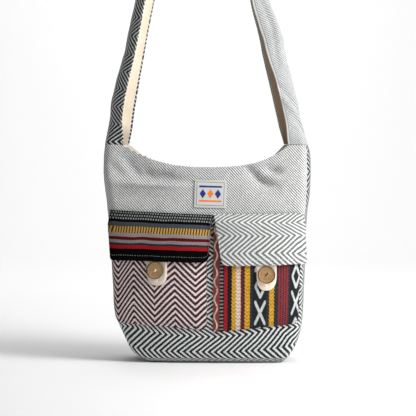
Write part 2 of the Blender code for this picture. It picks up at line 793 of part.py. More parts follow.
def make_button(name, closure, pocket, material):
    """A slightly dished coconut-shell button with two thread holes."""
    radius = BUTTON_DIAMETER / 2
    thick = BUTTON_THICKNESS
    profile = [
        (0, 0),
        (radius * 0.90, 0),
        (radius, thick * 0.35),
        (radius, thick * 0.75),
        (radius * 0.93, thick),
        (radius * 0.80, thick * 0.94),
        (radius * 0.35, thick * 0.86),
        (0, thick * 0.86),
    ]
    points, faces = turned(profile, 20)
    made = new_object(name, mesh_from(name, points, faces), material)
    made.matrix_world = button_place(closure, pocket)
    for k, side in enumerate((-1, 1)):
        shift = Matrix.Translation((side * BUTTON_HOLE_SPACING / 2, 0, thick / 2))
        hole = cutter(f"{name}_hole_{k}", BUTTON_HOLE_DIAMETER / 2, 3 * thick, made.matrix_world @ shift)
        cut = made.modifiers.new(f"hole_{k}", "BOOLEAN")
        cut.operation = "DIFFERENCE"
        cut.solver = "EXACT"
        cut.object = hole
    return made


def button_place(closure, pocket):
    """Where the button's flat underside lies: over the loop, turned a little about the vertical."""
    lean = math.radians(closure.turn)
    lift = BUTTON_DIAMETER / 2 * math.sin(abs(lean))
    out = LOOP_CLEARANCE * 2 + LOOP_CLOTH + lift
    centre, turn, normal = closure_frame(closure, pocket, out)
    tilt = Matrix.Rotation(lean, 4, "Z")
    level_up = turn.inverted() @ Vector((0, 0, 1))
    spin = Matrix.Rotation(math.atan2(-level_up.x, level_up.y), 4, "Z")
    return Matrix.Translation(centre) @ tilt @ turn @ spin


def make_thread(name, closure, pocket, material):
    """The thread that holds a button: two legs through its holes, a bar over its face, one under it."""
    radius = THREAD_DIAMETER / 2
    spread = BUTTON_HOLE_SPACING / 2
    place = button_place(closure, pocket)
    centre, _, _ = closure_frame(closure, pocket, PATCH_CLEARANCE)
    foot = (place.inverted() @ centre).z
    top = BUTTON_THICKNESS * 0.86 + SEAM_GAP
    half = spread + radius
    outline = [
        (-half, top + radius * 2),
        (half, top + radius * 2),
        (half, foot),
        (-half, foot),
    ]
    inner = spread - radius
    window = [(-inner, top), (inner, top), (inner, -SEAM_GAP), (-inner, -SEAM_GAP)]
    points = [Vector((x, y, z)) for y in (-radius, radius) for x, z in outline + window]
    faces = []
    for k in range(4):
        after = (k + 1) % 4
        faces.append((k, after, 4 + after, 4 + k))
        faces.append((8 + k, 12 + k, 12 + after, 8 + after))
        faces.append((k, 8 + k, 8 + after, after))
        faces.append((4 + k, 4 + after, 12 + after, 12 + k))
    made = new_object(name, mesh_from(name, points, faces), material)
    made.matrix_world = place
    return made


def make_label(material):
    """A small plain patch sewn to the yoke."""
    middle_x = LABEL_X * HALF_WIDTH
    middle_height = blend(YOKE_SEAM_HEIGHT, BODY_HEIGHT, LABEL_UP_YOKE)

    def placed(v, u, out):
        dx = u * LABEL_WIDTH / 2
        dz = v * LABEL_HEIGHT / 2
        x = middle_x + dx * math.cos(LABEL_TURN) - dz * math.sin(LABEL_TURN)
        height = middle_height + dx * math.sin(LABEL_TURN) + dz * math.cos(LABEL_TURN)
        return on_panel(share_across(x, height), height, -1, out)

    steps = (-1, -0.6, -0.2, 0.2, 0.6, 1)
    return cloth("label_patch", placed, steps, steps, PATCH_CLEARANCE + LABEL_CLOTH, LABEL_CLOTH, material)


def finish(name, colour, roughness):
    """A material with the colour and roughness of one kind of piece."""
    material = bpy.data.materials.new(name)
    material.use_nodes = True
    shader = material.node_tree.nodes["Principled BSDF"]
    shader.inputs["Base Color"].default_value = (*colour, 1.0)
    shader.inputs["Roughness"].default_value = roughness
    shader.inputs["Metallic"].default_value = 0.0
    return material


def build():
    for old in list(bpy.data.objects):
        bpy.data.objects.remove(old)
    make_yoke(finish("grey_twill_front", (0.46, 0.47, 0.47), 0.9))
    make_lower_front(finish("dark_herringbone_front", (0.30, 0.32, 0.33), 0.9))
    make_back(finish("grey_twill_back", (0.46, 0.47, 0.47), 0.9))
    make_gusset(finish("dark_herringbone_side", (0.30, 0.32, 0.33), 0.9))
    make_lining(finish("cream_lining", (0.72, 0.60, 0.46), 0.9))
    lining_out = -(PANEL_CLOTH + LAYER_GAP)
    dark = finish("dark_herringbone_strap", (0.30, 0.32, 0.33), 0.9)
    grey = finish("grey_twill_strap", (0.60, 0.61, 0.61), 0.9)
    make_strap("strap_herringbone", STRAP_LEFT, -1, 0.0, 0.0, PANEL_CLOTH, 8, dark)
    make_strap("strap_grey", STRAP_RIGHT, 1, 0.0, 0.0, PANEL_CLOTH, 8, grey)
    cream_left = finish("cream_strap_left", (0.72, 0.60, 0.46), 0.9)
    cream_right = finish("cream_strap_right", (0.72, 0.60, 0.46), 0.9)
    make_strap("strap_lining_left", STRAP_LEFT, -1, STRAP_HEM, lining_out, LINING_CLOTH, 8, cream_left)
    make_strap("strap_lining_right", STRAP_RIGHT, 1, STRAP_HEM, lining_out, LINING_CLOTH, 8, cream_right)
    make_pocket("pocket_maroon", POCKET_LEFT_AT, finish("maroon_herringbone", (0.32, 0.20, 0.20), 0.9))
    make_pocket("pocket_striped", POCKET_RIGHT_AT, finish("folk_stripes_pocket", (0.30, 0.10, 0.08), 0.9))
    make_flap("flap_striped", FLAP_LEFT_AT, POCKET_LEFT_AT, finish("folk_stripes_flap", (0.12, 0.10, 0.10), 0.9))
    make_flap("flap_white", FLAP_RIGHT_AT, POCKET_RIGHT_AT, finish("white_herringbone", (0.62, 0.63, 0.62), 0.9))
    make_label(finish("label_cloth", (0.75, 0.75, 0.73), 0.8))
    for tag, closure, pocket in (
        ("left", CLOSURE_LEFT, POCKET_LEFT_AT),
        ("right", CLOSURE_RIGHT, POCKET_RIGHT_AT),
    ):
        make_loop(f"loop_{tag}", closure, pocket, finish(f"cream_loop_{tag}", (0.74, 0.66, 0.56), 0.9))
        make_button(f"button_{tag}", closure, pocket, finish(f"coconut_{tag}", (0.36, 0.22, 0.10), 0.5))
        make_thread(f"thread_{tag}", closure, pocket, finish(f"thread_{tag}", (0.70, 0.66, 0.58), 0.8))


build()
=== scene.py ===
"""The looks of a small cotton jhola shoulder bag, laid out as a Blender add-on and run as a script.

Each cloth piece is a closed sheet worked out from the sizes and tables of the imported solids, with finer
folds, hems and seams. Its UV map "cloth" is in metres on the flat cloth, so every weave keeps its real scale.
"""

import math
from collections import namedtuple

import bmesh
import bpy
import numpy as np
from bpy.props import FloatProperty, FloatVectorProperty, IntProperty, PointerProperty
from bpy.types import Operator, Panel, PropertyGroup
from mathutils import Matrix, Vector

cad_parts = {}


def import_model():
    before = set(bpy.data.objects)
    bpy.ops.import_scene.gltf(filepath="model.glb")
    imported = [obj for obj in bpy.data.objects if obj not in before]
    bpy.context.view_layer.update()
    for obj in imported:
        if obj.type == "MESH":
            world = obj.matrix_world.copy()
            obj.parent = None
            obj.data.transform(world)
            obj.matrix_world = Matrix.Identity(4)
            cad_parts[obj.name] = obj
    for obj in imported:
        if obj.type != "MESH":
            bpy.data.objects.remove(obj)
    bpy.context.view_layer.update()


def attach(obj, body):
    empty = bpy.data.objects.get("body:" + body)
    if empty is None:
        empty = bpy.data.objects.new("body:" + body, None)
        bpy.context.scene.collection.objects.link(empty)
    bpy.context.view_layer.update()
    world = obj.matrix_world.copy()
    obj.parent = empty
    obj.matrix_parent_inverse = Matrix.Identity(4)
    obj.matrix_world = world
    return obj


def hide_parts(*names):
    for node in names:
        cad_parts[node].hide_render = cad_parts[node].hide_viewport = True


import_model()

bl_info = {
    "name": "Jhola shoulder bag",
    "version": (1, 0, 0),
    "blender": (4, 5, 0),
    "location": "3D View > Sidebar > Bag",
    "description": "Builds the cloth, weaves, buttons and stage of a handloom shoulder bag",
    "category": "Object",
}

MM = 0.001

# Sizes of the body, as in the solids
BODY_HEIGHT = 301 * MM
HALF_WIDTH = 144 * MM
GUSSET_WIDTH = 56 * MM
GUSSET_BELLY = 2 * MM
PANEL_BULGE = 16 * MM
CORNER_RADIUS = 12 * MM
BASE_ROUNDING = 10 * MM
YOKE_SEAM_HEIGHT = 204 * MM
MOUTH_DIP_FRONT = 30 * MM
MOUTH_DIP_BACK = 36 * MM
PANEL_CLOTH = 1.8 * MM
LINING_CLOTH = 1.0 * MM
LAYER_GAP = 0.8 * MM
SEAM_GAP = 0.3 * MM

# Sizes of the strap
STRAP_RISE = 456 * MM
STRAP_FRONT_ARM = 37 * MM
STRAP_BACK_ARM = 39 * MM
STRAP_ARCH_RADIUS = 38 * MM
STRAP_ARCH_REACH = 10 * MM
STRAP_LEAST_DEPTH = 7 * MM
STRAP_ROOT_BLEND = 34 * MM
STRAP_HEM = 3 * MM

# Sizes of the pockets, flaps and closures
POCKET_CLOTH = 1.6 * MM
POCKET_PUFF = 6.5 * MM
FLAP_CLOTH = 1.8 * MM
FLAP_CLEARANCE = 2.2 * MM
PATCH_CLEARANCE = 0.8 * MM
LOOP_CLOTH = 1.2 * MM
LOOP_CLEARANCE = 0.4 * MM
BUTTON_DIAMETER = 24 * MM
BUTTON_THICKNESS = 4.2 * MM
BUTTON_HOLE_DIAMETER = 2.4 * MM
BUTTON_HOLE_SPACING = 4.4 * MM
BUTTON_TWIST = math.radians(50)
THREAD_DIAMETER = 1.6 * MM
LABEL_WIDTH = 44 * MM
LABEL_HEIGHT = 38 * MM
LABEL_DIAMOND = 10.4 * MM
LABEL_CLOTH = 0.8 * MM

FILLET_START = 0.8
MOUTH_END = 0.7
MOUTH_END_BACK = 0.665
SEWN_WITHIN = 0.6 * MM
ARCH_START_ANGLE = math.radians(15)
ARCH_STEPS = 5
HANG_HEIGHT = BODY_HEIGHT + STRAP_RISE - PANEL_CLOTH - LAYER_GAP - LINING_CLOTH

# Details that only the looks have
GRID_STEP = 2.5 * MM
HEM_WIDTH = 10 * MM
HEM_STEP = 0.5 * MM
ROLLED_HEM = 2.4 * MM
LOOP_AREA_SHARE = 0.715
THREAD_SHIFTS = (-0.42, 0.0, 0.42)
SEAM_DEPTH = 0.45 * MM
BASE_SEAM_HEIGHT = 6 * MM
LINING_GIRTH_ROW = 60
STITCH_SPACING = 4.2 * MM
STITCH_LENGTH = 2.6 * MM
STITCH_RADIUS = 0.32 * MM

# Heights above the floor at which the base cloth and the white flap first turn their stripes, and how far
# to the left of the bag's middle the maroon cloth's wales begin to narrow
APEX_HEIGHT = 38.1 * MM
FLAP_APEX_HEIGHT = 177.3 * MM
PINCH_AT = 96 * MM

# Sizes over which the bands of the striped cloths are laid out
STRIPED_POCKET_WIDTH = 118 * MM
STRIPED_FLAP_HEIGHT = 74.2 * MM

# Yarns, threads and tones that differ from one piece to the next, and the painted light and painted shade of
# the cream linings
STRAP_TWILL_DARK = (0.180, 0.185, 0.186)
STRAP_TWILL_LIGHT = (0.59, 0.60, 0.59)
# Painted light (above 1) and painted shade (below 1) on copies of one cream lining: the bag's lining is
# lightened as where light falls into the mouth, the left strap's lining a little where it faces the light,
# and the right strap's lining is darkened and browned for the shade inside its fold
BAG_LINING_PAINTED_LIGHT = 1.15
LINING_PAINTED_LIGHT_AND_SHADE = {"left": 1.05, "right": 0.57}
STRAP_THREADS = {"left": (0.10, 0.10, 0.11), "right": (0.55, 0.55, 0.54)}
LOOP_TONES = {"left": 0.92, "right": 1.22}
SHELL_TONES = {"left": (0.62, 0.57, 0.46), "right": (1.5, 1.42, 1.4)}
BUTTON_THREADS = {"left": (0.78, 0.75, 0.68), "right": (0.10, 0.07, 0.05)}

# The turned button's outline, from the middle of its underside to the middle of its sunk face: radius as a
# share of half its diameter and height as a share of its thickness
BUTTON_PROFILE = [
    (0.0, 0.0),
    (0.45, 0.0),
    (0.86, 0.0),
    (0.93, 0.04),
    (0.985, 0.2),
    (1.0, 0.45),
    (0.995, 0.72),
    (0.965, 0.93),
    (0.925, 1.0),
    (0.885, 0.985),
    (0.855, 0.93),
    (0.80, 0.90),
    (0.62, 0.87),
    (0.35, 0.86),
    (0.0, 0.86),
]

# The studio's lights: place and aim with their heights above the floor, width in metres and power in watts
Light = namedtuple("Light", "name place aim width power")
BAG_MIDDLE = (0.0, 0.0, 0.2)
LIGHTS = [
    Light("key_right", (1.10, -0.58, 0.90), BAG_MIDDLE, 0.7, 24.0),
    Light("front_fill", (0.3, -2.4, 1.0), BAG_MIDDLE, 2.0, 2.4),
    Light("top_soft", (0.4, -0.2, 2.3), BAG_MIDDLE, 1.6, 10.5),
    Light("backdrop_wash", (-0.3, 1.0, 1.9), (0.5, 2.4, 0.6), 1.2, 25.0),
]
WORLD_STRENGTH = 0.235

# Levels of the body, as in the solids: height of BODY_HEIGHT, left and right of HALF_WIDTH,
# gusset of GUSSET_WIDTH, corner of CORNER_RADIUS and bulge of PANEL_BULGE
Section = namedtuple("Section", "height left right gusset corner bulge")
SIDE_SWELL = 3.8 * MM
SIDE_SWELL_AT = 0.86
SIDE_SWELL_REACH = 0.16
SECTIONS = [
    Section(0.000, 0.530, 0.730, 1.00, 1.00, 0.30),
    Section(0.012, 0.590, 0.780, 1.00, 1.00, 0.40),
    Section(0.050, 0.695, 0.845, 1.00, 1.00, 0.58),
    Section(0.105, 0.757, 0.897, 1.00, 1.00, 0.76),
    Section(0.160, 0.810, 0.926, 0.99, 1.00, 0.88),
    Section(0.220, 0.862, 0.942, 0.98, 1.00, 0.96),
    Section(0.350, 0.880, 0.949, 0.95, 1.00, 1.00),
    Section(0.500, 0.897, 0.960, 0.90, 1.00, 1.00),
    Section(0.690, 0.930, 0.972, 0.80, 1.00, 0.85),
    Section(0.750, 0.940, 0.979, 0.74, 1.00, 0.74),
    Section(0.840, 0.967, 0.987, 0.64, 0.95, 0.52),
    Section(0.930, 0.970, 0.987, 0.50, 0.84, 0.32),
    Section(1.000, 0.958, 0.981, 0.38, 0.72, 0.20),
]

# Dents (depth above 0) and ridges (below 0) of the front: x of HALF_WIDTH, height of BODY_HEIGHT,
# length and width of HALF_WIDTH, depth of PANEL_BULGE, and the angle in degrees
Fold = namedtuple("Fold", "x height length width depth angle")
FRONT_FOLDS = [
    Fold(0.47, 0.850, 0.26, 0.095, 0.10, -37),
    Fold(-0.64, 0.900, 0.24, 0.100, 0.18, -25),
    Fold(-0.50, 0.853, 0.300, 0.055, 0.38, -6),
    Fold(-0.48, 0.820, 0.320, 0.030, -0.42, -2),
    Fold(0.68, 0.750, 0.26, 0.095, -0.12, 10),
    Fold(0.490, 0.858, 0.130, 0.042, 0.40, -42),
    Fold(0.610, 0.822, 0.110, 0.040, 0.24, -22),
    Fold(0.665, 0.880, 0.090, 0.040, 0.42, -8),
    Fold(0.660, 0.850, 0.100, 0.032, -0.12, -4),
    Fold(0.846, 0.781, 0.120, 0.030, 0.06, 20),
    Fold(-0.850, 0.885, 0.120, 0.042, 0.16, -42),
    Fold(-0.690, 0.893, 0.130, 0.040, 0.18, -48),
    Fold(-0.540, 0.872, 0.090, 0.040, 0.14, -50),
    Fold(-0.330, 0.850, 0.160, 0.045, 0.10, -28),
    Fold(-0.600, 0.762, 0.240, 0.045, 0.18, 3),
    Fold(0.050, 0.022, 0.030, 0.028, 0.22, 90),
    Fold(-0.380, 0.060, 0.200, 0.035, 0.08, -12),
    Fold(0.550, 0.055, 0.240, 0.030, 0.06, 8),
]

# Stations of the strap's halves: rise of STRAP_RISE, fold of HALF_WIDTH, front and back of their arms
Station = namedtuple("Station", "rise fold front back")
STRAP_LEFT = [
    Station(0.000, 0.955, 0.64, 0.88),
    Station(0.074, 0.930, 0.54, 0.83),
    Station(0.147, 0.893, 0.51, 0.82),
    Station(0.221, 0.840, 0.51, 0.77),
    Station(0.295, 0.778, 0.48, 0.69),
    Station(0.368, 0.724, 0.46, 0.64),
    Station(0.442, 0.671, 0.43, 0.62),
    Station(0.614, 0.527, 0.40, 0.52),
    Station(0.768, 0.397, 0.36, 0.42),
]
STRAP_RIGHT = [
    Station(0.000, 0.981, 0.64, 0.83),
    Station(0.074, 0.933, 0.60, 0.83),
    Station(0.147, 0.878, 0.58, 0.82),
    Station(0.221, 0.826, 0.62, 0.83),
    Station(0.258, 0.797, 0.67, 0.83),
    Station(0.295, 0.776, 0.73, 0.85),
    Station(0.332, 0.749, 0.73, 0.83),
    Station(0.368, 0.711, 0.73, 0.79),
    Station(0.442, 0.622, 0.65, 0.68),
    Station(0.614, 0.495, 0.50, 0.54),
    Station(0.768, 0.380, 0.39, 0.42),
]

# Creases of the strap, in millimetres: up from its foot, across from its fold (below 0 is the front arm),
# length, width and depth, and the angle in degrees from the strap's length towards its back edge
StrapFold = namedtuple("StrapFold", "up across length width depth angle")
CREASES_LEFT = [
    StrapFold(30, -14, 16, 4, 0.9, 30),
    StrapFold(150, -12, 22, 4, 0.8, -20),
    StrapFold(215, -20, 26, 5, 0.9, 15),
    StrapFold(330, 10, 40, 7, 1.0, -12),
]
CREASES_RIGHT = [
    StrapFold(113, -12, 13, 1.8, 3.0, 74),
    StrapFold(62, -17, 30, 3.0, 3.4, 146),
    StrapFold(48, -20, 30, 3.0, -2.8, 148),
    StrapFold(24, -10, 18, 3.0, 2.0, 140),
    StrapFold(150, -24, 34, 3.6, 1.8, 4),
    StrapFold(185, -22, 30, 4.0, 2.2, -6),
    StrapFold(185, -16, 60, 8.0, -3.2, 0),
    StrapFold(320, 8, 40, 7.0, 1.0, 10),
]

# Patches on the front, as in the solids: edges' top and low ends of half a panel's width, heights of
# YOKE_SEAM_HEIGHT and corners of HALF_WIDTH
Patch = namedtuple(
    "Patch",
    "left left_low right right_low top_left top_right bottom_left bottom_right corner_left corner_right",
)
POCKET_LEFT_AT = Patch(-0.905, -0.905, 0.030, 0.030, 0.930, 0.930, 0.278, 0.232, 0.055, 0.055)
POCKET_RIGHT_AT = Patch(0.085, 0.085, 0.860, 0.860, 0.930, 0.930, 0.218, 0.274, 0.030, 0.030)
FLAP_LEFT_AT = Patch(-0.875, -0.875, 0.076, 0.046, 1.037, 1.006, 0.700, 0.687, 0.030, 0.060)
FLAP_RIGHT_AT = Patch(0.088, 0.150, 0.880, 0.915, 1.011, 1.017, 0.666, 0.677, 0.065, 0.030)

Closure = namedtuple("Closure", "x height loop_x loop_half_width loop_top loop_bottom turn")
CLOSURE_LEFT = Closure(-0.455, 0.639, -0.436, 0.098, 0.760, 0.534, 24)
CLOSURE_RIGHT = Closure(0.590, 0.610, 0.591, 0.094, 0.740, 0.502, -18)

FLAP_LIFT_START = 1.030
LABEL_X = 0.062
LABEL_UP_YOKE = 0.308
LABEL_TURN = math.radians(-1.5)

# Bands of the two striped cloths: where each ends, as a share of the cloth's width or height, and its colour
Band = namedtuple("Band", "end colour")
FLAP_BANDS = [
    Band(0.180, (0.008, 0.009, 0.010)),
    Band(0.226, (0.003, 0.003, 0.004)),
    Band(0.311, (0.060, 0.068, 0.074)),
    Band(0.440, (0.030, 0.014, 0.010)),
    Band(0.512, (0.300, 0.270, 0.270)),
    Band(0.575, (0.105, 0.007, 0.009)),
    Band(0.637, (0.270, 0.225, 0.225)),
    Band(0.684, (0.024, 0.031, 0.036)),
    Band(0.756, (0.370, 0.012, 0.016)),
    Band(1.000, (0.003, 0.003, 0.0035)),
]
POCKET_BANDS = [
    Band(0.069, (0.260, 0.045, 0.052)),
    Band(0.125, (0.010, 0.010, 0.011)),
    Band(0.163, (0.380, 0.012, 0.020)),
    Band(0.214, (0.010, 0.010, 0.012)),
    Band(0.260, (0.700, 0.370, 0.030)),
    Band(0.315, (0.760, 0.620, 0.500)),
    Band(0.361, (0.110, 0.013, 0.022)),
    Band(0.421, (0.700, 0.370, 0.030)),
    Band(0.452, (0.024, 0.032, 0.038)),
    Band(0.613, (0.014, 0.017, 0.019)),
    Band(0.644, (0.024, 0.032, 0.038)),
    Band(0.698, (0.700, 0.370, 0.030)),
    Band(0.742, (0.024, 0.032, 0.038)),
    Band(0.863, (0.230, 0.035, 0.042)),
    Band(0.876, (0.024, 0.032, 0.038)),
    Band(1.000, (0.014, 0.017, 0.019)),
]


def length_setting(name, description, default):
    return FloatProperty(name=name, description=description, default=default, unit="LENGTH")


def angle_setting(name, description, default):
    return FloatProperty(name=name, description=description, default=default, subtype="ANGLE")


def colour_setting(name, description, default):
    return FloatVectorProperty(name=name, description=description, default=default, subtype="COLOR")


class BagSizes(PropertyGroup):
    """Sizes of the weave, the creases and the buttons."""

    wale_width: length_setting(
        "Herringbone wale", "Width of one wale of the black and white herringbone", 27.9 * MM
    )
    stripe_period: length_setting(
        "Stripe period", "Distance between two white stripes of the herringbone", 9.1 * MM
    )
    pocket_wale: length_setting("Pocket wale", "Width of one wale of the maroon herringbone", 27.9 * MM)
    thread_pitch: length_setting(
        "Thread pitch", "Distance between two yarns of the handloom cloth", 0.7 * MM
    )
    crease_strength: FloatProperty(
        name="Crease strength",
        description="How deep the creases of the cloth are, as a share of the usual depth",
        default=1.0,
        min=0.0,
        max=2.0,
    )
    button_sides: IntProperty(
        name="Button sides", description="Sides of each turned coconut button", default=72, min=24, max=128
    )


class BagColours(PropertyGroup):
    """Colours of the yarns, the lining and the buttons."""

    black_yarn: colour_setting(
        "Black yarn", "Dark stripes of the black and white herringbone", (0.010, 0.014, 0.018)
    )
    white_yarn: colour_setting(
        "White yarn", "Light stripes of the black and white herringbone", (0.66, 0.67, 0.66)
    )
    twill_dark: colour_setting("Twill dark yarn", "Dark lines of the grey twill", (0.050, 0.054, 0.056))
    twill_light: colour_setting("Twill light yarn", "Light lines of the grey twill", (0.88, 0.89, 0.88))
    maroon_yarn: colour_setting("Maroon yarn", "Dark stripes of the maroon pocket", (0.050, 0.012, 0.015))
    pale_yarn: colour_setting("Pale yarn", "Light stripes of the maroon pocket", (0.70, 0.62, 0.62))
    chevron_grey: colour_setting("Chevron grey", "Grey stripes of the white flap", (0.125, 0.13, 0.13))
    chevron_white: colour_setting("Chevron white", "White stripes of the white flap", (0.70, 0.71, 0.70))
    lining_cream: colour_setting(
        "Lining cream", "Cotton lining of the bag and the strap", (0.75, 0.65, 0.53)
    )
    loop_cream: colour_setting("Loop cream", "Cotton loops round the buttons", (0.80, 0.68, 0.56))
    shell_tan: colour_setting("Shell tan", "Face of the coconut buttons", (0.36, 0.22, 0.085))


class StageSettings(PropertyGroup):
    """The camera's place and the picture's size."""

    azimuth: angle_setting(
        "Azimuth", "How far the camera stands to the right of the front", math.radians(2)
    )
    elevation: angle_setting("Elevation", "How far the camera looks down", math.radians(3))
    distance: length_setting("Distance", "From the camera to the middle of the picture", 2.5)
    picture_width: length_setting("Picture width", "Width of the view at the bag", 582.4 * MM)
    aim_x: length_setting(
        "Aim across", "How far the picture's middle lies to the right of the bag's", 4.2 * MM
    )
    aim_height: length_setting(
        "Aim height", "How far the picture's middle lies above the floor", 212.5 * MM
    )


def world(x, y, height):
    """Points at heights above the floor, in the frame of the solids."""
    return np.stack(np.broadcast_arrays(x, y, height - HANG_HEIGHT), axis=-1).astype(float)


def blend(a, b, share):
    return a + (b - a) * share


def ease(share):
    share = np.clip(share, 0.0, 1.0)
    return share * share * (3 - 2 * share)


def bell(distance):
    return np.exp(-distance * distance)


def column(rows, name):
    return np.array([getattr(row, name) for row in rows], float)


def look_up(rows, name, at):
    """A column's value between rows, on a smooth curve through them. The first field is the position."""
    places = column(rows, rows[0]._fields[0])
    values = column(rows, name)
    slopes = np.empty_like(values)
    slopes[1:-1] = (values[2:] - values[:-2]) / (places[2:] - places[:-2])
    slopes[0] = (values[1] - values[0]) / (places[1] - places[0])
    slopes[-1] = (values[-1] - values[-2]) / (places[-1] - places[-2])
    at = np.clip(at, places[0], places[-1])
    k = np.clip(np.searchsorted(places, at, side="right") - 1, 0, len(places) - 2)
    span = places[k + 1] - places[k]
    s = (at - places[k]) / span
    return (
        values[k] * (1 + 2 * s) * (1 - s) ** 2
        + slopes[k] * span * s * (1 - s) ** 2
        + values[k + 1] * s * s * (3 - 2 * s)
        + slopes[k + 1] * span * s * s * (s - 1)
    )


Level = namedtuple("Level", "left right gusset corner bulge")


def level_at(height):
    sizes = (HALF_WIDTH, HALF_WIDTH, GUSSET_WIDTH, CORNER_RADIUS, PANEL_BULGE)
    at = height / BODY_HEIGHT
    return Level(*[look_up(SECTIONS, name, at) * size for name, size in zip(Level._fields, sizes)])


def across(t, level):
    """X, the share of the corner's depth and the girth, at share t of half a panel's width."""
    half = np.where(t < 0, level.left, level.right)
    flat = half - level.corner
    angle = np.clip((1 - np.abs(t)) / (1 - FILLET_START), 0, 1) * math.pi / 2
    sign = np.where(t < 0, -1.0, 1.0)
    flat_part = np.abs(t) <= FILLET_START
    x = np.where(flat_part, flat * t / FILLET_START, sign * (half - level.corner * (1 - np.cos(angle))))
    corner_share = np.where(flat_part, 1.0, np.sin(angle))
    arc = level.corner * (math.pi / 2 - angle)
    girth = np.where(flat_part, x, sign * (flat + arc))
    return x, corner_share, girth


def girth_at(t, height):
    """The distance along the cloth from a panel's middle to share t, at a height."""
    return across(t, level_at(height))[2]


def share_across(x, height):
    """The share of half a panel's width at which the front has a given x."""
    level = level_at(height)
    half = np.where(x < 0, level.left, level.right)
    return x / (half - level.corner) * FILLET_START


def dent(da, db, angle, length, width):
    """The shape of a smooth dent at distances from its middle. An angle in degrees turns its length."""
    turn = math.radians(angle)
    along = (da * math.cos(turn) + db * math.sin(turn)) / length
    beside = (db * math.cos(turn) - da * math.sin(turn)) / width
    return bell(np.hypot(along, beside))


def fold_depth(x, height):
    """How far the front is dented at a place, with the slow unevenness of hand-woven cloth."""
    depth = np.zeros(np.broadcast(x, height).shape)
    for fold in FRONT_FOLDS:
        dx = x - fold.x * HALF_WIDTH
        dz = height - fold.height * BODY_HEIGHT
        shape = dent(dx, dz, fold.angle, fold.length * HALF_WIDTH, fold.width * HALF_WIDTH)
        depth += fold.depth * PANEL_BULGE * shape
    return depth * bpy.context.scene.bag_sizes.crease_strength + unevenness(x, height, 0.35 * MM)


def unevenness(a, b, size):
    """A calm, never repeating swell over two coordinates in metres."""
    waves = ((41, 23, 0.3), (-29, 57, 1.7), (83, -31, 2.9), (17, 101, 4.1), (131, 67, 5.3), (-97, 139, 0.9))
    total = 0.0
    for n, (wa, wb, phase) in enumerate(waves):
        total = total + np.sin(2 * math.pi * (wa * a + wb * b) / 4 + phase) / (1 + 0.35 * n)
    return total * size / 2


def panel(t, height, side):
    """The outer face of the front (side -1) or the back (side 1)."""
    level = level_at(height)
    x, corner_share, _ = across(t, level)
    half = np.where(t < 0, level.left, level.right)
    base = np.clip(height / BASE_ROUNDING, 0, 1)
    base_share = np.sqrt(np.clip(1 - (1 - base) ** 2, 0, 1))
    belly = level.bulge * (1 - np.abs(x / half) ** 2.4)
    if side < 0:
        belly = belly - fold_depth(x, height) * corner_share
    else:
        belly = belly - unevenness(x, height, 1.1 * MM) * corner_share
    depth = level.gusset / 2 + (level.corner * corner_share + belly) * base_share
    return world(x, side * depth, height)


def outline_normal(height, sign):
    """The outward direction of the bag's outline, on side sign, for heights above 0."""
    step = 0.5 * MM
    low = np.maximum(height - step, 0)
    high = np.minimum(height + step, BODY_HEIGHT)
    wide = [level_at(h).right if sign > 0 else level_at(h).left for h in (low, high)]
    widening = (wide[1] - wide[0]) / (high - low)
    length = np.hypot(1, widening)
    return np.stack([sign / length, np.zeros_like(length), -widening / length], axis=-1)


def normals(points, sign):
    """Directions across a grid of points, from its own slopes."""
    found = np.cross(np.gradient(points, axis=1), np.gradient(points, axis=0))
    return sign * found / np.maximum(np.linalg.norm(found, axis=-1, keepdims=True), 1e-12)


def panel_normals(points, t, height, side):
    """The grid's own directions, but the outline's along the sewn edges and straight down at the base."""
    found = normals(points, -side)
    for at, sign in ((0, -1), (-1, 1)):
        if abs(t[0, at]) > 0.999:
            found[:, at] = outline_normal(height[:, at], sign)
    found[height[:, 0] <= 0] = (0, 0, -1)
    return found


def gusset_grid(height, sign, share, out):
    """The side strip at heights and shares from -1 at the front seam to 1 at the back seam."""
    level = level_at(height)
    half = level.right if sign > 0 else level.left
    normal = outline_normal(height, sign)
    swell = SIDE_SWELL * bell((height / BODY_HEIGHT - SIDE_SWELL_AT) / SIDE_SWELL_REACH) * (sign > 0)
    swell = swell * ease((BODY_HEIGHT - height) / (8 * MM))
    belly = (GUSSET_BELLY + swell) * (1 - share * share) * ease(height / BASE_ROUNDING)
    edge = level.gusset / 2 - SEAM_GAP / 2
    reach = (belly + out)[..., None] if np.ndim(belly + out) else belly + out
    return world(sign * half, share * edge, height) + normal * reach


def mouth_height(t, side):
    dip = MOUTH_DIP_FRONT if side < 0 else MOUTH_DIP_BACK
    end = MOUTH_END if side < 0 else MOUTH_END_BACK
    left, right = (2.3, 3.3) if side < 0 else (2.6, 4.0)
    steepness = np.where(t < 0, left, right)
    within = np.clip(np.abs(t) / end, 0, 1)
    return BODY_HEIGHT - dip * (1 - within ** steepness)


def panel_columns(step=GRID_STEP):
    count = int(HALF_WIDTH / step)
    flat = np.linspace(0, FILLET_START, count + 1)
    corner = np.linspace(FILLET_START, 1, 10)[1:]
    half = np.concatenate([flat, corner])
    return np.concatenate([-half[:0:-1], half])


def base_heights(count=9):
    angles = np.linspace(0, math.pi / 2, count)
    return BASE_ROUNDING * (1 - np.cos(angles))


def heights_to(top, step=GRID_STEP):
    start = base_heights()
    rest = np.linspace(start[-1], top, int((top - start[-1]) / step) + 1)
    return np.concatenate([start, rest[1:]])


def wall_heights(t, heights, upper, side):
    """Heights of a whole wall's grid: level rows up to the yoke seam, then rows that rise to the mouth."""
    rows = [np.full_like(t, h) for h in heights]
    return np.array(rows + [blend(YOKE_SEAM_HEIGHT, mouth_height(t, side), s) for s in upper])


def travelled(points):
    """The distance along a line of points, from its start."""
    steps = np.linalg.norm(np.diff(points, axis=0), axis=-1)
    return np.concatenate([[0], np.cumsum(steps)])


# Meshes

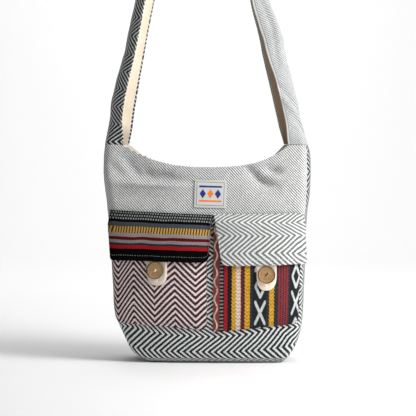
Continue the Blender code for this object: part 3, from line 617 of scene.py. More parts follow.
def closed_sheet(name, outer, inner, uv, wrap=False, rounding=0.75):
    """A closed sheet of cloth between two grids, with a rounded rim. wrap joins its first and last column."""
    rows, columns = outer.shape[:2]
    outer = outer.copy()
    inner = inner.copy()
    if wrap:
        rims = [[(0, c) for c in range(columns)], [(rows - 1, c) for c in range(columns)]]
    else:
        rims = [
            [(0, c) for c in range(columns)]
            + [(r, columns - 1) for r in range(1, rows)]
            + [(rows - 1, c) for c in range(columns - 2, -1, -1)]
            + [(r, 0) for r in range(rows - 2, 0, -1)]
        ]
    rim_points = []
    rim_uv = []
    rim_places = []
    for rim in rims:
        at = np.array(rim)
        near = np.stack(
            [np.clip(at[:, 0], 1, rows - 2), at[:, 1] if wrap else np.clip(at[:, 1], 1, columns - 2)], axis=1
        )
        edge_outer = outer[at[:, 0], at[:, 1]]
        edge_inner = inner[at[:, 0], at[:, 1]]
        middle = (edge_outer + edge_inner) / 2
        inward = (outer[near[:, 0], near[:, 1]] + inner[near[:, 0], near[:, 1]]) / 2 - middle
        inward /= np.maximum(np.linalg.norm(inward, axis=1, keepdims=True), 1e-9)
        thick = np.linalg.norm(edge_outer - edge_inner, axis=1, keepdims=True)
        sewn = np.abs(edge_outer[:, 2] + HANG_HEIGHT - BODY_HEIGHT) < SEWN_WITHIN
        shift = inward * thick / 2 * rounding * np.where(sewn, 0.1, 1.0)[:, None]
        outer[at[:, 0], at[:, 1]] = edge_outer + shift
        inner[at[:, 0], at[:, 1]] = edge_inner + shift
        for face in (edge_outer, middle, edge_inner):
            rim_points.append(middle + (face - middle) * 0.82 + shift * (0.25 if face is not middle else 0))
        rim_uv += [uv[at[:, 0], at[:, 1]]] * 3
        rim_places.append(at)
    count = rows * columns
    grid = np.arange(count).reshape(rows, columns)
    if wrap:
        grid = np.concatenate([grid, grid[:, :1]], axis=1)
    quads = np.stack([grid[:-1, :-1], grid[:-1, 1:], grid[1:, 1:], grid[1:, :-1]], axis=-1).reshape(-1, 4)
    faces = [quads, quads[:, ::-1] + count]
    points = [outer.reshape(-1, 3), inner.reshape(-1, 3)]
    start = 2 * count
    for n, at in enumerate(rim_places):
        flat_index = at[:, 0] * columns + at[:, 1]
        size = len(at)
        chain = [flat_index]
        for k in range(3):
            points.append(rim_points[3 * n + k])
            chain.append(start + np.arange(size))
            start += size
        chain.append(flat_index + count)
        for a, b in zip(chain[:-1], chain[1:]):
            strip = np.stack([a, b, np.roll(b, -1), np.roll(a, -1)], axis=1)
            if wrap and n == 0:
                strip = strip[:, ::-1]
            faces.append(strip[:, ::-1] if wrap else strip)
    flat_uv = uv.reshape(-1, 2)
    all_uv = np.concatenate([flat_uv, flat_uv] + rim_uv)
    return mesh_piece(name, np.concatenate(points), np.concatenate(faces), all_uv)


def mesh_piece(name, points, faces, uv=None):
    """A piece from points and faces, wound outward and shaded smooth."""
    mesh = bpy.data.meshes.new(name)
    mesh.from_pydata(points.tolist(), [], [[int(v) for v in face] for face in faces])
    if uv is not None:
        layer = mesh.uv_layers.new(name="cloth")
        corner = np.empty(len(mesh.loops), int)
        mesh.loops.foreach_get("vertex_index", corner)
        layer.uv.foreach_set("vector", uv[corner].astype(np.float32).ravel())
    shaped = bmesh.new()
    shaped.from_mesh(mesh)
    bmesh.ops.remove_doubles(shaped, verts=shaped.verts, dist=0.002 * MM)
    bmesh.ops.recalc_face_normals(shaped, faces=shaped.faces)
    if shaped.calc_volume(signed=True) < 0:
        bmesh.ops.reverse_faces(shaped, faces=shaped.faces)
    shaped.to_mesh(mesh)
    shaped.free()
    mesh.shade_smooth()
    made = bpy.data.objects.new(name, mesh)
    bpy.context.scene.collection.objects.link(made)
    return made


def tube(points, radius, sides=6):
    """Points and faces of a closed round tube along a line. radius is one value, or one for each point."""
    points = np.asarray(points, float)
    radii = np.broadcast_to(radius, (len(points),))
    along = np.gradient(points, axis=0)
    along /= np.maximum(np.linalg.norm(along, axis=1, keepdims=True), 1e-12)
    helper = np.array([0.31, 0.87, 0.38])
    side = np.cross(along, helper)
    side /= np.linalg.norm(side, axis=1, keepdims=True)
    other = np.cross(along, side)
    turn = np.linspace(0, 2 * math.pi, sides, endpoint=False)
    round_it = np.cos(turn)[None, :, None] * side[:, None] + np.sin(turn)[None, :, None] * other[:, None]
    rings = points[:, None] + radii[:, None, None] * round_it
    return np.concatenate([rings.reshape(-1, 3), points[:1], points[-1:]]), ring_faces(len(points), sides)


def ring_faces(rings, sides):
    """Faces of a stack of rings of points, closed by two more points at its first and its last ring."""
    grid = np.arange(rings * sides).reshape(rings, sides)
    after = np.roll(grid, -1, axis=1)
    faces = np.stack([grid[:-1], after[:-1], after[1:], grid[1:]], axis=-1).reshape(-1, 4).tolist()
    first = rings * sides
    for k in range(sides):
        faces.append([first, grid[0, (k + 1) % sides], grid[0, k]])
        faces.append([first + 1, grid[-1, k], grid[-1, (k + 1) % sides]])
    return faces


def stitch_places(name, places, outer, normal, *settings):
    """A row of stitches over places of a piece's grid, each a row and a column."""
    rows, columns = np.array(places).T
    return stitch_row(name, outer[rows, columns], normal[rows, columns], *settings)


def stitch_row(
    name, line, outward, thread, spacing=STITCH_SPACING, length=STITCH_LENGTH, radius=STITCH_RADIUS
):
    """Short raised stitches along a line of points on a cloth, each dipping into it at both ends."""
    far = travelled(line)
    starts = np.arange(spacing / 2, far[-1] - length, spacing)
    shares = np.array([0.0, 0.25, 0.5, 0.75, 1.0])
    points = []
    faces = []
    total = 0
    for n, start in enumerate(starts):
        wander = 0.12 * math.sin(2.3 * n) * length
        at = start + wander + shares * length * (1 + 0.08 * math.sin(1.7 * n))
        place = np.stack([np.interp(at, far, line[:, k]) for k in range(3)], axis=1)
        lift = np.stack([np.interp(at, far, outward[:, k]) for k in range(3)], axis=1)
        place = place + lift * (radius * np.array([-0.9, 0.45, 0.75, 0.45, -0.9]))[:, None]
        verts, quads = tube(place, radius * np.array([0.55, 0.95, 1.0, 0.95, 0.55]), 6)
        points.append(verts)
        faces += [[v + total for v in face] for face in quads]
        total += len(verts)
    made = mesh_piece(name, np.concatenate(points), faces)
    made.data.materials.append(thread)
    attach(made, "root")
    return made


def dress(piece, node, material, cut=None):
    """Gives a cloth piece its material and its body, and hides the solid of its node. Its flat size, cut, is
    taken but not kept.
    """
    piece.data.materials.append(material)
    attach(piece, "root")
    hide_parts(node)
    width, length, area = cut
    min(area, width * length)
    return piece


def cut_of(uv):
    """Width, length and area of the flat cloth that a UV grid lays out."""
    du = uv[1:, 1:] - uv[:-1, :-1]
    dv = uv[1:, :-1] - uv[:-1, 1:]
    area = np.abs(du[..., 0] * dv[..., 1] - du[..., 1] * dv[..., 0]).sum() / 2
    return float(np.ptp(uv[..., 0])), float(np.ptp(uv[..., 1])), float(area)


# Node groups and materials

class Field:
    """A value in a node tree. Sums of fields add the math nodes that work them out."""

    def __init__(self, graph, socket):
        self.graph = graph
        self.socket = socket

    def __add__(self, other):
        return self.graph.math("ADD", self, other)

    def __sub__(self, other):
        return self.graph.math("SUBTRACT", self, other)

    def __rsub__(self, other):
        return self.graph.math("SUBTRACT", other, self)

    def __mul__(self, other):
        return self.graph.math("MULTIPLY", self, other)

    def __truediv__(self, other):
        return self.graph.math("DIVIDE", self, other)

    def __rtruediv__(self, other):
        return self.graph.math("DIVIDE", other, self)

    def __lt__(self, other):
        return self.graph.math("LESS_THAN", self, other)

    def __gt__(self, other):
        return self.graph.math("GREATER_THAN", self, other)

    def __abs__(self):
        return self.graph.math("ABSOLUTE", self)

    __radd__ = __add__
    __rmul__ = __mul__


class Graph:
    """Adds nodes to a material's or a group's tree and links them."""

    def __init__(self, tree):
        self.tree = tree

    def add(self, kind, inputs=None, **settings):
        node = self.tree.nodes.new(kind)
        for name, value in settings.items():
            setattr(node, name, value)
        for socket, value in (inputs or {}).items():
            self.feed(node.inputs[socket], value)
        return node

    def feed(self, socket, value):
        if isinstance(value, Field):
            self.tree.links.new(value.socket, socket)
        elif isinstance(value, tuple) and socket.type == "RGBA":
            socket.default_value = (*value, 1.0)
        else:
            socket.default_value = value

    def result(self, node, name=0):
        return Field(self, node.outputs[name])

    def math(self, operation, *values, clamp=False):
        node = self.add("ShaderNodeMath", dict(enumerate(values)), operation=operation, use_clamp=clamp)
        return self.result(node)

    def least(self, a, b=0.0):
        return self.math("MINIMUM", a, b)

    def swing(self, value, size=0.5):
        """A value that runs up to a size and back again."""
        return self.math("PINGPONG", value, size)

    def step(self, value, edge, softness):
        """1 above an edge and 0 below it, with a soft change."""
        span = {"Value": value, "From Min": edge - softness, "From Max": edge + softness}
        return self.result(self.add("ShaderNodeMapRange", span, interpolation_type="SMOOTHSTEP"), "Result")

    def between(self, value, low, high, softness):
        """1 where a value lies between two edges."""
        return self.step(value, low, softness) - self.step(value, high, softness)

    def mix(self, factor, a, b):
        return self.result(self.add("ShaderNodeMix", {0: factor, 6: a, 7: b}, data_type="RGBA"), 2)

    def noise(self, a, b, scale_a, scale_b, detail=2.0):
        """Noise over two cloth coordinates, each with its own scale."""
        place = self.result(self.add("ShaderNodeCombineXYZ", {0: a * scale_a, 1: b * scale_b}))
        return self.texture(place, 1.0, detail)

    def texture(self, place, scale, detail):
        inputs = {"Vector": place, "Scale": scale, "Detail": detail}
        return self.result(self.add("ShaderNodeTexNoise", inputs), "Fac")

    def group(self, work, across, along, **inputs):
        """Adds a shared node group and returns its output, or the list of its outputs."""
        node = self.add("ShaderNodeGroup", {"Across": across, "Along": along}, node_tree=shared(work))
        for name, value in inputs.items():
            self.feed(node.inputs[socket_name(name)], value)
        results = [Field(self, socket) for socket in node.outputs]
        return results if len(results) > 1 else results[0]

    def bands(self, value, rows):
        """A colour for each band of a striped cloth."""
        node = self.add("ShaderNodeValToRGB", {0: value})
        ramp = node.color_ramp
        ramp.interpolation = "CONSTANT"
        ramp.elements[0].position = 0.0
        ramp.elements[0].color = (*rows[0].colour, 1.0)
        ramp.elements[1].position = rows[0].end
        ramp.elements[1].color = (*rows[1].colour, 1.0)
        for before, row in zip(rows[1:-1], rows[2:]):
            ramp.elements.new(before.end).color = (*row.colour, 1.0)
        return self.result(node, "Color")


def socket_name(name):
    return name.replace("_", " ").title()


GROUP_SOCKETS = {}


def node_group(*outputs, **inputs):
    """Marks a function as a shared node group, with its outputs and its inputs' defaults."""

    def mark(work):
        GROUP_SOCKETS[work.__name__] = (outputs, {"across": 0.0, "along": 0.0, **inputs})
        return work

    return mark


def shared(work):
    """The node group that a function describes, made the first time it is asked for."""
    tree = bpy.data.node_groups.get(work.__name__)
    if tree:
        return tree
    tree = bpy.data.node_groups.new(work.__name__, "ShaderNodeTree")
    outputs, inputs = GROUP_SOCKETS[work.__name__]
    kinds = {"colour": "NodeSocketColor"}
    for name, default in inputs.items():
        kind = kinds.get(name, "NodeSocketFloat")
        socket = tree.interface.new_socket(socket_name(name), in_out="INPUT", socket_type=kind)
        socket.default_value = default
    for name in outputs:
        kind = kinds.get(name, "NodeSocketFloat")
        tree.interface.new_socket(socket_name(name), in_out="OUTPUT", socket_type=kind)
    graph = Graph(tree)
    given = tree.nodes.new("NodeGroupInput").outputs
    results = work(graph, **{name: Field(graph, given[socket_name(name)]) for name in inputs})
    for socket, value in zip(tree.nodes.new("NodeGroupOutput").inputs, results):
        graph.feed(socket, value)
    return tree


@node_group(
    "light",
    "relief",
    period=9 * MM,
    wale=24 * MM,
    lean=1.5,
    thread=0.7 * MM,
    dark_share=0.5,
    softness=0.06,
    raggedness=0.12,
)
def zigzag_weave(graph, across, along, period, wale, lean, thread, dark_share, softness, raggedness):
    """Diagonal stripes that turn back at each wale, with the stepped, ragged edges of woven yarns."""
    row = graph.math("ROUND", along / thread)
    run = across + graph.swing(row * thread, wale) * lean
    ragged = graph.noise(across, row, 160.0, 0.9, 1.0) - 0.5
    wave = graph.swing(run / period + ragged * raggedness) * 2
    return graph.step(wave, dark_share, softness), graph.math("SINE", wave * math.pi) * 0.5


@node_group("across", "along", size=1 * MM, scale=22.0)
def yarn_drift(graph, across, along, size, scale):
    """Cloth coordinates that wander a little, as the yarns of handloom cloth do."""
    moved = []
    for place, shift in ((across, 0.0), (along, 3.7)):
        wander = graph.noise(across, along + shift, scale, scale, 1.0) - 0.5
        moved.append(place + wander * (size * 4))
    return moved


@node_group("relief", pitch=0.7 * MM)
def crossing_yarns(graph, across, along, pitch):
    """The bumps where warp and weft cross."""
    turns = 2 * math.pi / pitch
    return [graph.math("SINE", across * turns) * graph.math("SINE", along * turns) * 0.5 + 0.5]


@node_group("colour", "roughness", "relief", colour=(0.5, 0.5, 0.5, 1.0), slub=0.12, unevenness=0.10)
def cotton_tint(graph, across, along, colour, slub, unevenness):
    """Slubs, uneven dye and handling marks on any cotton."""
    slubs = graph.noise(across, along, 110.0, 520.0, 1.0) + graph.noise(across, along, 520.0, 110.0, 1.0) - 1
    patch = graph.noise(across, along, 28.0, 28.0, 3.0) - 0.5
    shade = slubs * slub + 1 + patch * unevenness
    scaled = graph.add("ShaderNodeVectorMath", {0: colour, "Scale": shade}, operation="SCALE")
    return graph.result(scaled), patch * 0.15 + 0.88, slubs


@node_group("mask", centre=0.0, half_width=1 * MM, period=3 * MM, share=0.5)
def woven_dashes(graph, across, along, centre, half_width, period, share):
    """Dashes in a row: 1 on each dash, 0 between them."""
    inside = 1 - graph.step(abs(across - centre), half_width, 0.0002)
    on = 1 - graph.step(graph.swing(along / period), share * 0.5, 0.05)
    return [inside * on]


@node_group("mask", centre=0.0, half_width=7 * MM, half_length=16.5 * MM, line=0.28)
def lozenge_and_cross(graph, across, along, centre, half_width, half_length, line):
    """Diamonds and crosses that take turns down a band."""
    cell = 2.16
    beat = along / (half_length * cell)
    odd = graph.swing(graph.math("FLOOR", beat), 1.0)
    a = abs(across - centre) / half_width
    b = abs((graph.math("FRACT", beat) - 0.5) * cell)
    distance = abs(a + b - 0.86) * (1 - odd) + abs(a - b) * odd
    return [(1 - graph.step(distance, line, 0.07)) * ((a < 1.02) * (b < 1.0))]


@node_group("relief", "shade", width=3 * MM, pitch=3 * MM)
def plaited_band(graph, across, along, width, pitch):
    """The plaited look of a thick yarn band: a relief and a shade between its strands."""
    wave = graph.swing((along + graph.swing(across, width)) / pitch) * 2
    strand = graph.math("SINE", wave * (math.pi / 2))
    return strand, graph.math("MULTIPLY_ADD", strand, 0.85, 0.30, clamp=True)


def new_material(name):
    """A material, with its graph and its shader node."""
    material = bpy.data.materials.new(name)
    material.use_nodes = True
    return material, Graph(material.node_tree), material.node_tree.nodes["Principled BSDF"]


def cloth_place(graph):
    """Both coordinates of a piece's flat cloth."""
    place = graph.result(graph.add("ShaderNodeUVMap", uv_map="cloth"))
    apart = graph.add("ShaderNodeSeparateXYZ", {0: place})
    return graph.result(apart, 0), graph.result(apart, 1)


def cover(graph, shader, colour, roughness, strength, distance, height):
    """Gives a shader its colour, its roughness and its bump."""
    bumped = graph.add("ShaderNodeBump", {"Strength": strength, "Distance": distance, "Height": height})
    for name, value in (("Base Color", colour), ("Roughness", roughness), ("Normal", graph.result(bumped))):
        graph.feed(shader.inputs[name], value)


def toned(colour, tone):
    """A colour times a tone, which is one number or three."""
    return tuple(np.minimum(np.array(colour) * tone, 1.0).tolist())


def cloth_material(name, paint, slub=0.12, uneven=0.10, bump=0.5, sheen=0.25, gloss=0.2):
    """A cotton material. paint(graph, across, along) gives its colour and a relief in yarn heights."""
    material, graph, shader = new_material(name)
    u, v = cloth_place(graph)
    colour, relief = paint(graph, u, v)
    colour, roughness, slubs = graph.group(cotton_tint, u, v, colour=colour, slub=slub, unevenness=uneven)
    yarns = graph.group(crossing_yarns, u, v, pitch=bpy.context.scene.bag_sizes.thread_pitch)
    cover(graph, shader, colour, roughness, bump, 0.25 * MM, yarns * 0.5 + (relief + slubs))
    shader.inputs["Specular IOR Level"].default_value = gloss
    shader.inputs["Sheen Weight"].default_value = sheen
    shader.inputs["Sheen Roughness"].default_value = 0.5
    return material


def zigzag_paint(
    dark,
    light,
    period,
    wale,
    lean,
    dark_share,
    turned=False,
    shift=0.0,
    softness=0.06,
    bend=None,
    slant=0.0,
    steeper=0.0,
    drift=0.8 * MM,
    thread=None,
    ragged=0.12,
):
    """A herringbone of two colours. turned runs its wales up the cloth. bend reshapes the coordinates, slant
    changes the lean across the cloth, steeper adds to it above the first turn, and drift is how far the yarns
    wander."""
    thread = thread or bpy.context.scene.bag_sizes.thread_pitch

    def paint(graph, u, v):
        u, v = graph.group(yarn_drift, u, v, size=drift)
        if bend:
            u, v = bend(graph, u, v)
        a, b = (v, u) if turned else (u, v)
        weave, relief = graph.group(
            zigzag_weave,
            a,
            b + (shift + 10 * wale),
            period=period,
            wale=wale,
            lean=u * slant + lean + (b > -shift) * steeper,
            thread=thread,
            dark_share=dark_share,
            softness=softness,
            raggedness=ragged,
        )
        return graph.mix(weave, tuple(dark), tuple(light)), relief

    return paint


def ribbed_paint(colour, depth):
    """One colour, with a faint rib along the cloth."""
    rib = 1.1 * MM

    def paint(graph, u, v):
        ribs = graph.swing(u, rib) * (depth / rib)
        return graph.mix(ribs, colour, toned(colour, 0.8)), ribs

    return paint


def herringbone_material(name, shift=0.0, wale=None, period=None, lean=1.3, dark_share=0.56, **bends):
    """Black and white herringbone."""
    sizes = bpy.context.scene.bag_sizes
    colours = bpy.context.scene.bag_colours
    period = period or sizes.stripe_period
    wale = wale or sizes.wale_width
    yarns = (colours.black_yarn, colours.white_yarn)
    coarse = {"thread": 1.2 * MM, "ragged": 0.22}
    paint = zigzag_paint(*yarns, period, wale, lean, dark_share, shift=shift, **coarse, **bends)
    return cloth_material(name, paint, slub=0.40)


def sagging_base(graph, u, v):
    """The base cloth's wales rise towards both sides and crowd together where the bag curves in below."""
    rise = u * u * (v * 20 + 0.16)
    level = v - graph.least(rise, 12 * MM)
    below = graph.least(level - APEX_HEIGHT)
    turned_under = graph.least(v - 5.5 * MM)
    left = graph.least(u + 30 * MM)
    return u - left * left, below * 0.24 + (turned_under * 1.6 + level)


def pinched_side(graph, u, v):
    """The maroon pocket's wales are narrower where its cloth is drawn round the bag's left side."""
    return graph.least(u + PINCH_AT) * 0.30 + u, v


def folded_flap(graph, u, v):
    """The white flap's cloth is gathered over its seam, so the wales are short above the first turn."""
    return u, graph.math("MAXIMUM", v - FLAP_APEX_HEIGHT, 0.0) * 0.42 + v


def twill_material(name, dark=None, light=None, hem_at=-1.0):
    """Grey twill: thin diagonal lines that break up into dots, uneven as handloom cloth is.

    Beyond hem_at, towards the edge, a rolled hem shows the light yarn only. Just inside the hem a thin band
    of painted shade darkens the cloth, as beside a rolled edge.
    """
    dark = dark or tuple(bpy.context.scene.bag_colours.twill_dark)
    light = light or tuple(bpy.context.scene.bag_colours.twill_light)
    no_turn = 10.0
    loose = {"drift": 1.4 * MM, "ragged": 0.30}
    lines = zigzag_paint(dark, light, 3.75 * MM, no_turn, 1.0, 0.54, softness=0.12, **loose)
    breaks = zigzag_paint(dark, light, 3.4 * MM, no_turn, -0.9, 0.50, softness=0.20, **loose)

    def paint(graph, u, v):
        colour, relief = lines(graph, u, v)
        dots, _ = breaks(graph, u, v)
        worn = graph.step(graph.noise(u, v, 40.0, 55.0), 0.50, 0.16)
        colour = graph.mix(worn * 0.20 + 0.12, colour, dots)
        # painted shade: a thin dark band just inside the rolled hem
        painted_hem_shade = graph.between(u, hem_at, hem_at + 1.4 * MM, 0.2 * MM)
        colour = graph.mix(painted_hem_shade * 0.45, colour, dark)
        return graph.mix(u < hem_at, colour, light), relief

    return cloth_material(name, paint, slub=0.36, uneven=0.24)


def lining_material(name, shade):
    """Plain cream cotton with faint lengthwise streaks. A shade above 1 lightens it with painted light; below
    1 it darkens and browns it with painted shade, as for a lining in the shadow of a fold.
    """
    tone = toned(bpy.context.scene.bag_colours.lining_cream, shade ** np.array([1.0, 1.35, 1.7]))

    def paint(graph, u, v):
        streak = graph.noise(u, v, 420.0, 9.0)
        return graph.mix(streak * 0.35, tone, toned(tone, 0.72)), streak

    return cloth_material(name, paint, bump=0.3)


def flap_stripes(height):
    """Paint of the striped flap, whose bands hang from its top edge."""
    specks = ((0.032, 0.0), (0.092, 1.1), (0.152, 2.3))

    def paint(graph, u, v):
        wave = (graph.noise(u, 0.0, 30.0, 1.0, 1.0) - 0.5) * (2.4 * MM)
        tooth = graph.swing(u / (1.9 * MM)) * (0.5 * MM)
        down = (v + (wave + tooth)) / height
        colour = graph.bands(down, FLAP_BANDS)
        leaning = v * 0.14 + u
        bars = graph.group(
            woven_dashes, down, leaning, centre=0.377, half_width=0.064, period=3.75 * MM, share=0.60
        )
        colour = graph.mix(bars, colour, (0.560, 0.330, 0.085))
        for centre, shift in specks:
            along = u + shift * MM
            row = graph.group(
                woven_dashes, down, along, centre=centre, half_width=0.017, period=3.45 * MM, share=0.50
            )
            colour = graph.mix(row * 0.75, colour, (0.40, 0.42, 0.41))
        weave = graph.noise(u, v, 500.0, 900.0)
        blue = graph.between(down, 0.228, 0.305, 0.01) * graph.step(weave, 0.56, 0.03)
        blue = blue * graph.step(u, -0.06, 0.03)
        colour = graph.mix(blue * 0.5, colour, (0.06, 0.10, 0.24))
        colour = graph.mix(graph.step(weave, 0.50, 0.20) * 0.30, colour, (0.004, 0.004, 0.004))
        return colour, graph.group(crossing_yarns, u, v, pitch=1.2 * MM)

    return paint


def pocket_stripes(width):
    """Paint of the striped pocket: plain, plaited, laddered and figured bands side by side."""
    plaits = ((0.214, 0.421), (0.644, 0.698))
    brick_row = 1.75 * MM
    figured = ((0.540, 7.6, 57.2), (0.950, 6.0, 44.0))

    def paint(graph, u, v):
        tooth = graph.swing(v / (5.0 * MM)) - 0.25
        share = (tooth * (2.4 * MM) + u) / width
        colour = graph.bands(share, POCKET_BANDS)
        start = (share > 0.5) * (50.0 * MM) + 24.8 * MM
        plait, shade = graph.group(plaited_band, u - start, v, width=3.05 * MM, pitch=5.0 * MM)
        thick = sum(graph.between(share, low, high, 0.002) for low, high in plaits)
        colour = graph.mix(thick, colour, graph.mix((1 - shade) * 0.8, colour, (0.05, 0.03, 0.02)))
        brick = graph.between(share, 0.742, 0.863, 0.002)
        rows = graph.group(
            woven_dashes,
            graph.swing(u - 86.1 * MM, brick_row),
            u * 0.55 + v,
            centre=brick_row,
            half_width=0.75 * MM,
            period=3.2 * MM,
            share=0.60,
        )
        colour = graph.mix(brick * (rows * 0.95), colour, (0.014, 0.012, 0.016))
        ladder = graph.group(
            woven_dashes, share, v, centre=0.097, half_width=0.021, period=4.9 * MM, share=0.45
        )
        colour = graph.mix(ladder, colour, (0.25, 0.23, 0.23))
        line_at = graph.math("SINE", v * (2 * math.pi / (24 * MM))) * (2.0 * MM) + 3.6 * MM
        wavy = 1 - graph.step(abs(u - line_at), 1.1 * MM, 0.4 * MM)
        worn = wavy * graph.step(graph.noise(u, v, 90.0, 110.0), 0.42, 0.12)
        colour = graph.mix(worn * (share < POCKET_BANDS[0].end), colour, (0.72, 0.60, 0.42))
        brushed = graph.math("MULTIPLY_ADD", graph.noise(u, v, 500.0, 900.0), 0.7, 0.55, clamp=True)
        for centre, half, shift in figured:
            figures = graph.group(
                lozenge_and_cross,
                u,
                v + shift * MM,
                centre=width * centre,
                half_width=half * MM,
                half_length=17.0 * MM,
                line=0.25,
            )
            colour = graph.mix(figures * brushed, colour, (0.66, 0.67, 0.66))
        weave = graph.step(graph.noise(u, v, 800.0, 600.0), 0.54, 0.14)
        return graph.mix(weave * 0.25, colour, (0.004, 0.005, 0.006)), plait * thick + rows * brick

    return paint


def label_paint(width, height):
    """A plain woven label: off-white, with a frame line and a row of diamonds between two thin lines."""
    navy = (0.014, 0.030, 0.170)
    orange = (0.800, 0.200, 0.018)
    reach = 1.5 * LABEL_DIAMOND

    def paint(graph, u, v):
        edge = graph.least(width / 2 - abs(u), height / 2 - abs(v))
        frame_line = graph.between(edge, 3.0 * MM, 3.6 * MM, 0.15 * MM)
        colour = graph.mix(frame_line, (0.56, 0.56, 0.54), (0.06, 0.07, 0.09))
        cell = (u + 100.5 * LABEL_DIAMOND) / LABEL_DIAMOND
        away = abs(graph.math("FRACT", cell) - 0.5) * reach + abs(v)
        within = abs(u) < reach
        diamonds = (1 - graph.step(away, 0.62 * LABEL_DIAMOND, 0.2 * MM)) * within
        second = graph.swing(graph.math("FLOOR", cell), 1.0)
        colour = graph.mix(diamonds, colour, graph.mix(second, orange, navy))
        for low, tone in ((8.6 * MM, navy), (-11.0 * MM, orange)):
            colour = graph.mix(within * graph.between(v, low, low + 2.4 * MM, 0.2 * MM), colour, tone)
        return colour, graph.swing(v / (0.5 * MM))

    return paint


def thread_material(name, colour):
    """Twisted sewing thread."""
    material, graph, shader = new_material(name)
    place = graph.result(graph.add("ShaderNodeTexCoord"), "Object")
    noise = graph.texture(place, 900.0, 2.0)
    shade = graph.mix(noise, toned(colour, 0.6), toned(colour, 1.2))
    cover(graph, shader, shade, 0.8, 0.4, 0.1 * MM, noise)
    return material


def shell_material(name, pits, tone):
    """Matt coconut shell: long dark fibres and specks on tan, and a darker turned rim."""
    material, graph, shader = new_material(name)
    u, v = cloth_place(graph)
    fibre = graph.noise(u, v, 2600.0, 320.0, 3.0)
    cloud = graph.noise(u, v, 260.0, 260.0, 3.0)
    tan = toned(bpy.context.scene.bag_colours.shell_tan, tone)
    colour = graph.mix(graph.step(fibre, 0.52, 0.14), toned(tan, 0.55), tan)
    colour = graph.mix(graph.step(cloud, 0.52, 0.12) * 0.45, colour, toned(tan, 1.45))
    specks = graph.step(graph.noise(u, v, 1500.0, 1100.0, 1.0), 0.70 - 0.05 * pits, 0.04)
    colour = graph.mix(specks * 0.8, colour, (0.045, 0.022, 0.010))
    rim = graph.step(graph.math("SQRT", u * u + v * v), 0.445 * BUTTON_DIAMETER, 0.5 * MM)
    colour = graph.mix(rim, colour, (0.050, 0.024, 0.011))
    cover(graph, shader, colour, fibre * 0.25 + 0.42, 0.5, 0.15 * MM, fibre - specks * 1.5)
    return material


# Cloth pieces

def hem_relief(distance, width=HEM_WIDTH):
    """A turned hem: a thicker band along an edge, with a sunk line of stitches."""
    band = HEM_STEP * (1 - ease((distance - width + 1 * MM) / (1.6 * MM)))
    line = SEAM_DEPTH * bell((distance - width + 2.4 * MM) / (0.9 * MM))
    return band - line


def pucker(distance, along, reach=5 * MM):
    """Small gathers beside a sewn edge."""
    ripple = np.sin(2 * math.pi * along / (7.3 * MM)) + 0.6 * np.sin(2 * math.pi * along / (11.7 * MM) + 1.3)
    return 0.16 * MM * ripple * np.exp(-np.maximum(distance, 0) / reach)


def panel_uv(t, height, centre_v):
    return np.stack([girth_at(t, height), centre_v], axis=-1)


def seam_shift(points, side):
    """Keeps half a seam's gap between a panel's sewn edges and the side strip."""
    points[:, 0, 1] += side * SEAM_GAP / 2
    points[:, -1, 1] += side * SEAM_GAP / 2
    return points


def panel_piece(name, t, height, side, cloth, extra=0.0, v=None):
    """A front or back panel over grids of shares and heights. extra is relief on its outer face."""
    points = panel(t, height, side)
    out = panel_normals(points, t, height, side)
    outer = seam_shift(points + out * np.asarray(extra)[..., None] if np.ndim(extra) else points, side)
    inner = seam_shift(points - out * cloth, side)
    uv = panel_uv(t, height, height if v is None else v)
    return closed_sheet(name, outer, inner, uv), uv


def edge_girth(t, height):
    """Distance from a panel's sewn side edges, in metres."""
    return np.abs(girth_at(np.sign(t) + (t == 0), height)) - np.abs(girth_at(t, height))


class JHOLA_OT_front(Operator):
    """Makes the grey twill yoke and the herringbone lower front"""

    bl_idname = "jhola.front"
    bl_label = "Front panels"

    def execute(self, context):
        t = panel_columns()
        shares = np.linspace(0, 1, 42)
        low = YOKE_SEAM_HEIGHT + SEAM_GAP / 2
        tt, ss = np.meshgrid(t, shares)
        height = blend(low, mouth_height(tt, -1), ss)
        below = mouth_height(tt, -1) - height
        open_edge = ease((MOUTH_END - np.abs(tt)) / 0.08)
        relief = hem_relief(below, 12 * MM) * open_edge + pucker(edge_girth(tt, height), height)
        piece, uv = panel_piece("yoke_cloth", tt, height, -1, PANEL_CLOTH, relief)
        twill = twill_material("grey_twill")
        dress(piece, "yoke_front", twill, cut=cut_of(uv))

        heights = heights_to(YOKE_SEAM_HEIGHT - SEAM_GAP / 2)
        tt, height = np.meshgrid(t, heights)
        middle = panel(np.zeros_like(heights), heights, -1)
        v = travelled(middle)
        v = np.broadcast_to((v - v[-1] + YOKE_SEAM_HEIGHT)[:, None], tt.shape)
        from_seam = height - BASE_SEAM_HEIGHT
        relief = -SEAM_DEPTH * bell(from_seam / (1.2 * MM)) + pucker(np.abs(from_seam), tt * HALF_WIDTH)
        relief = relief + pucker(edge_girth(tt, height), height)
        relief = np.where(height <= 0, 0, relief)
        piece, uv = panel_piece("lower_front_cloth", tt, height, -1, PANEL_CLOTH, relief, v)
        cloth = herringbone_material(
            "black_white_front", -APEX_HEIGHT, None, 8.5 * MM, 0.97, bend=sagging_base, steeper=0.48
        )
        dress(piece, "lower_front", cloth, cut=cut_of(uv))
        return {"FINISHED"}


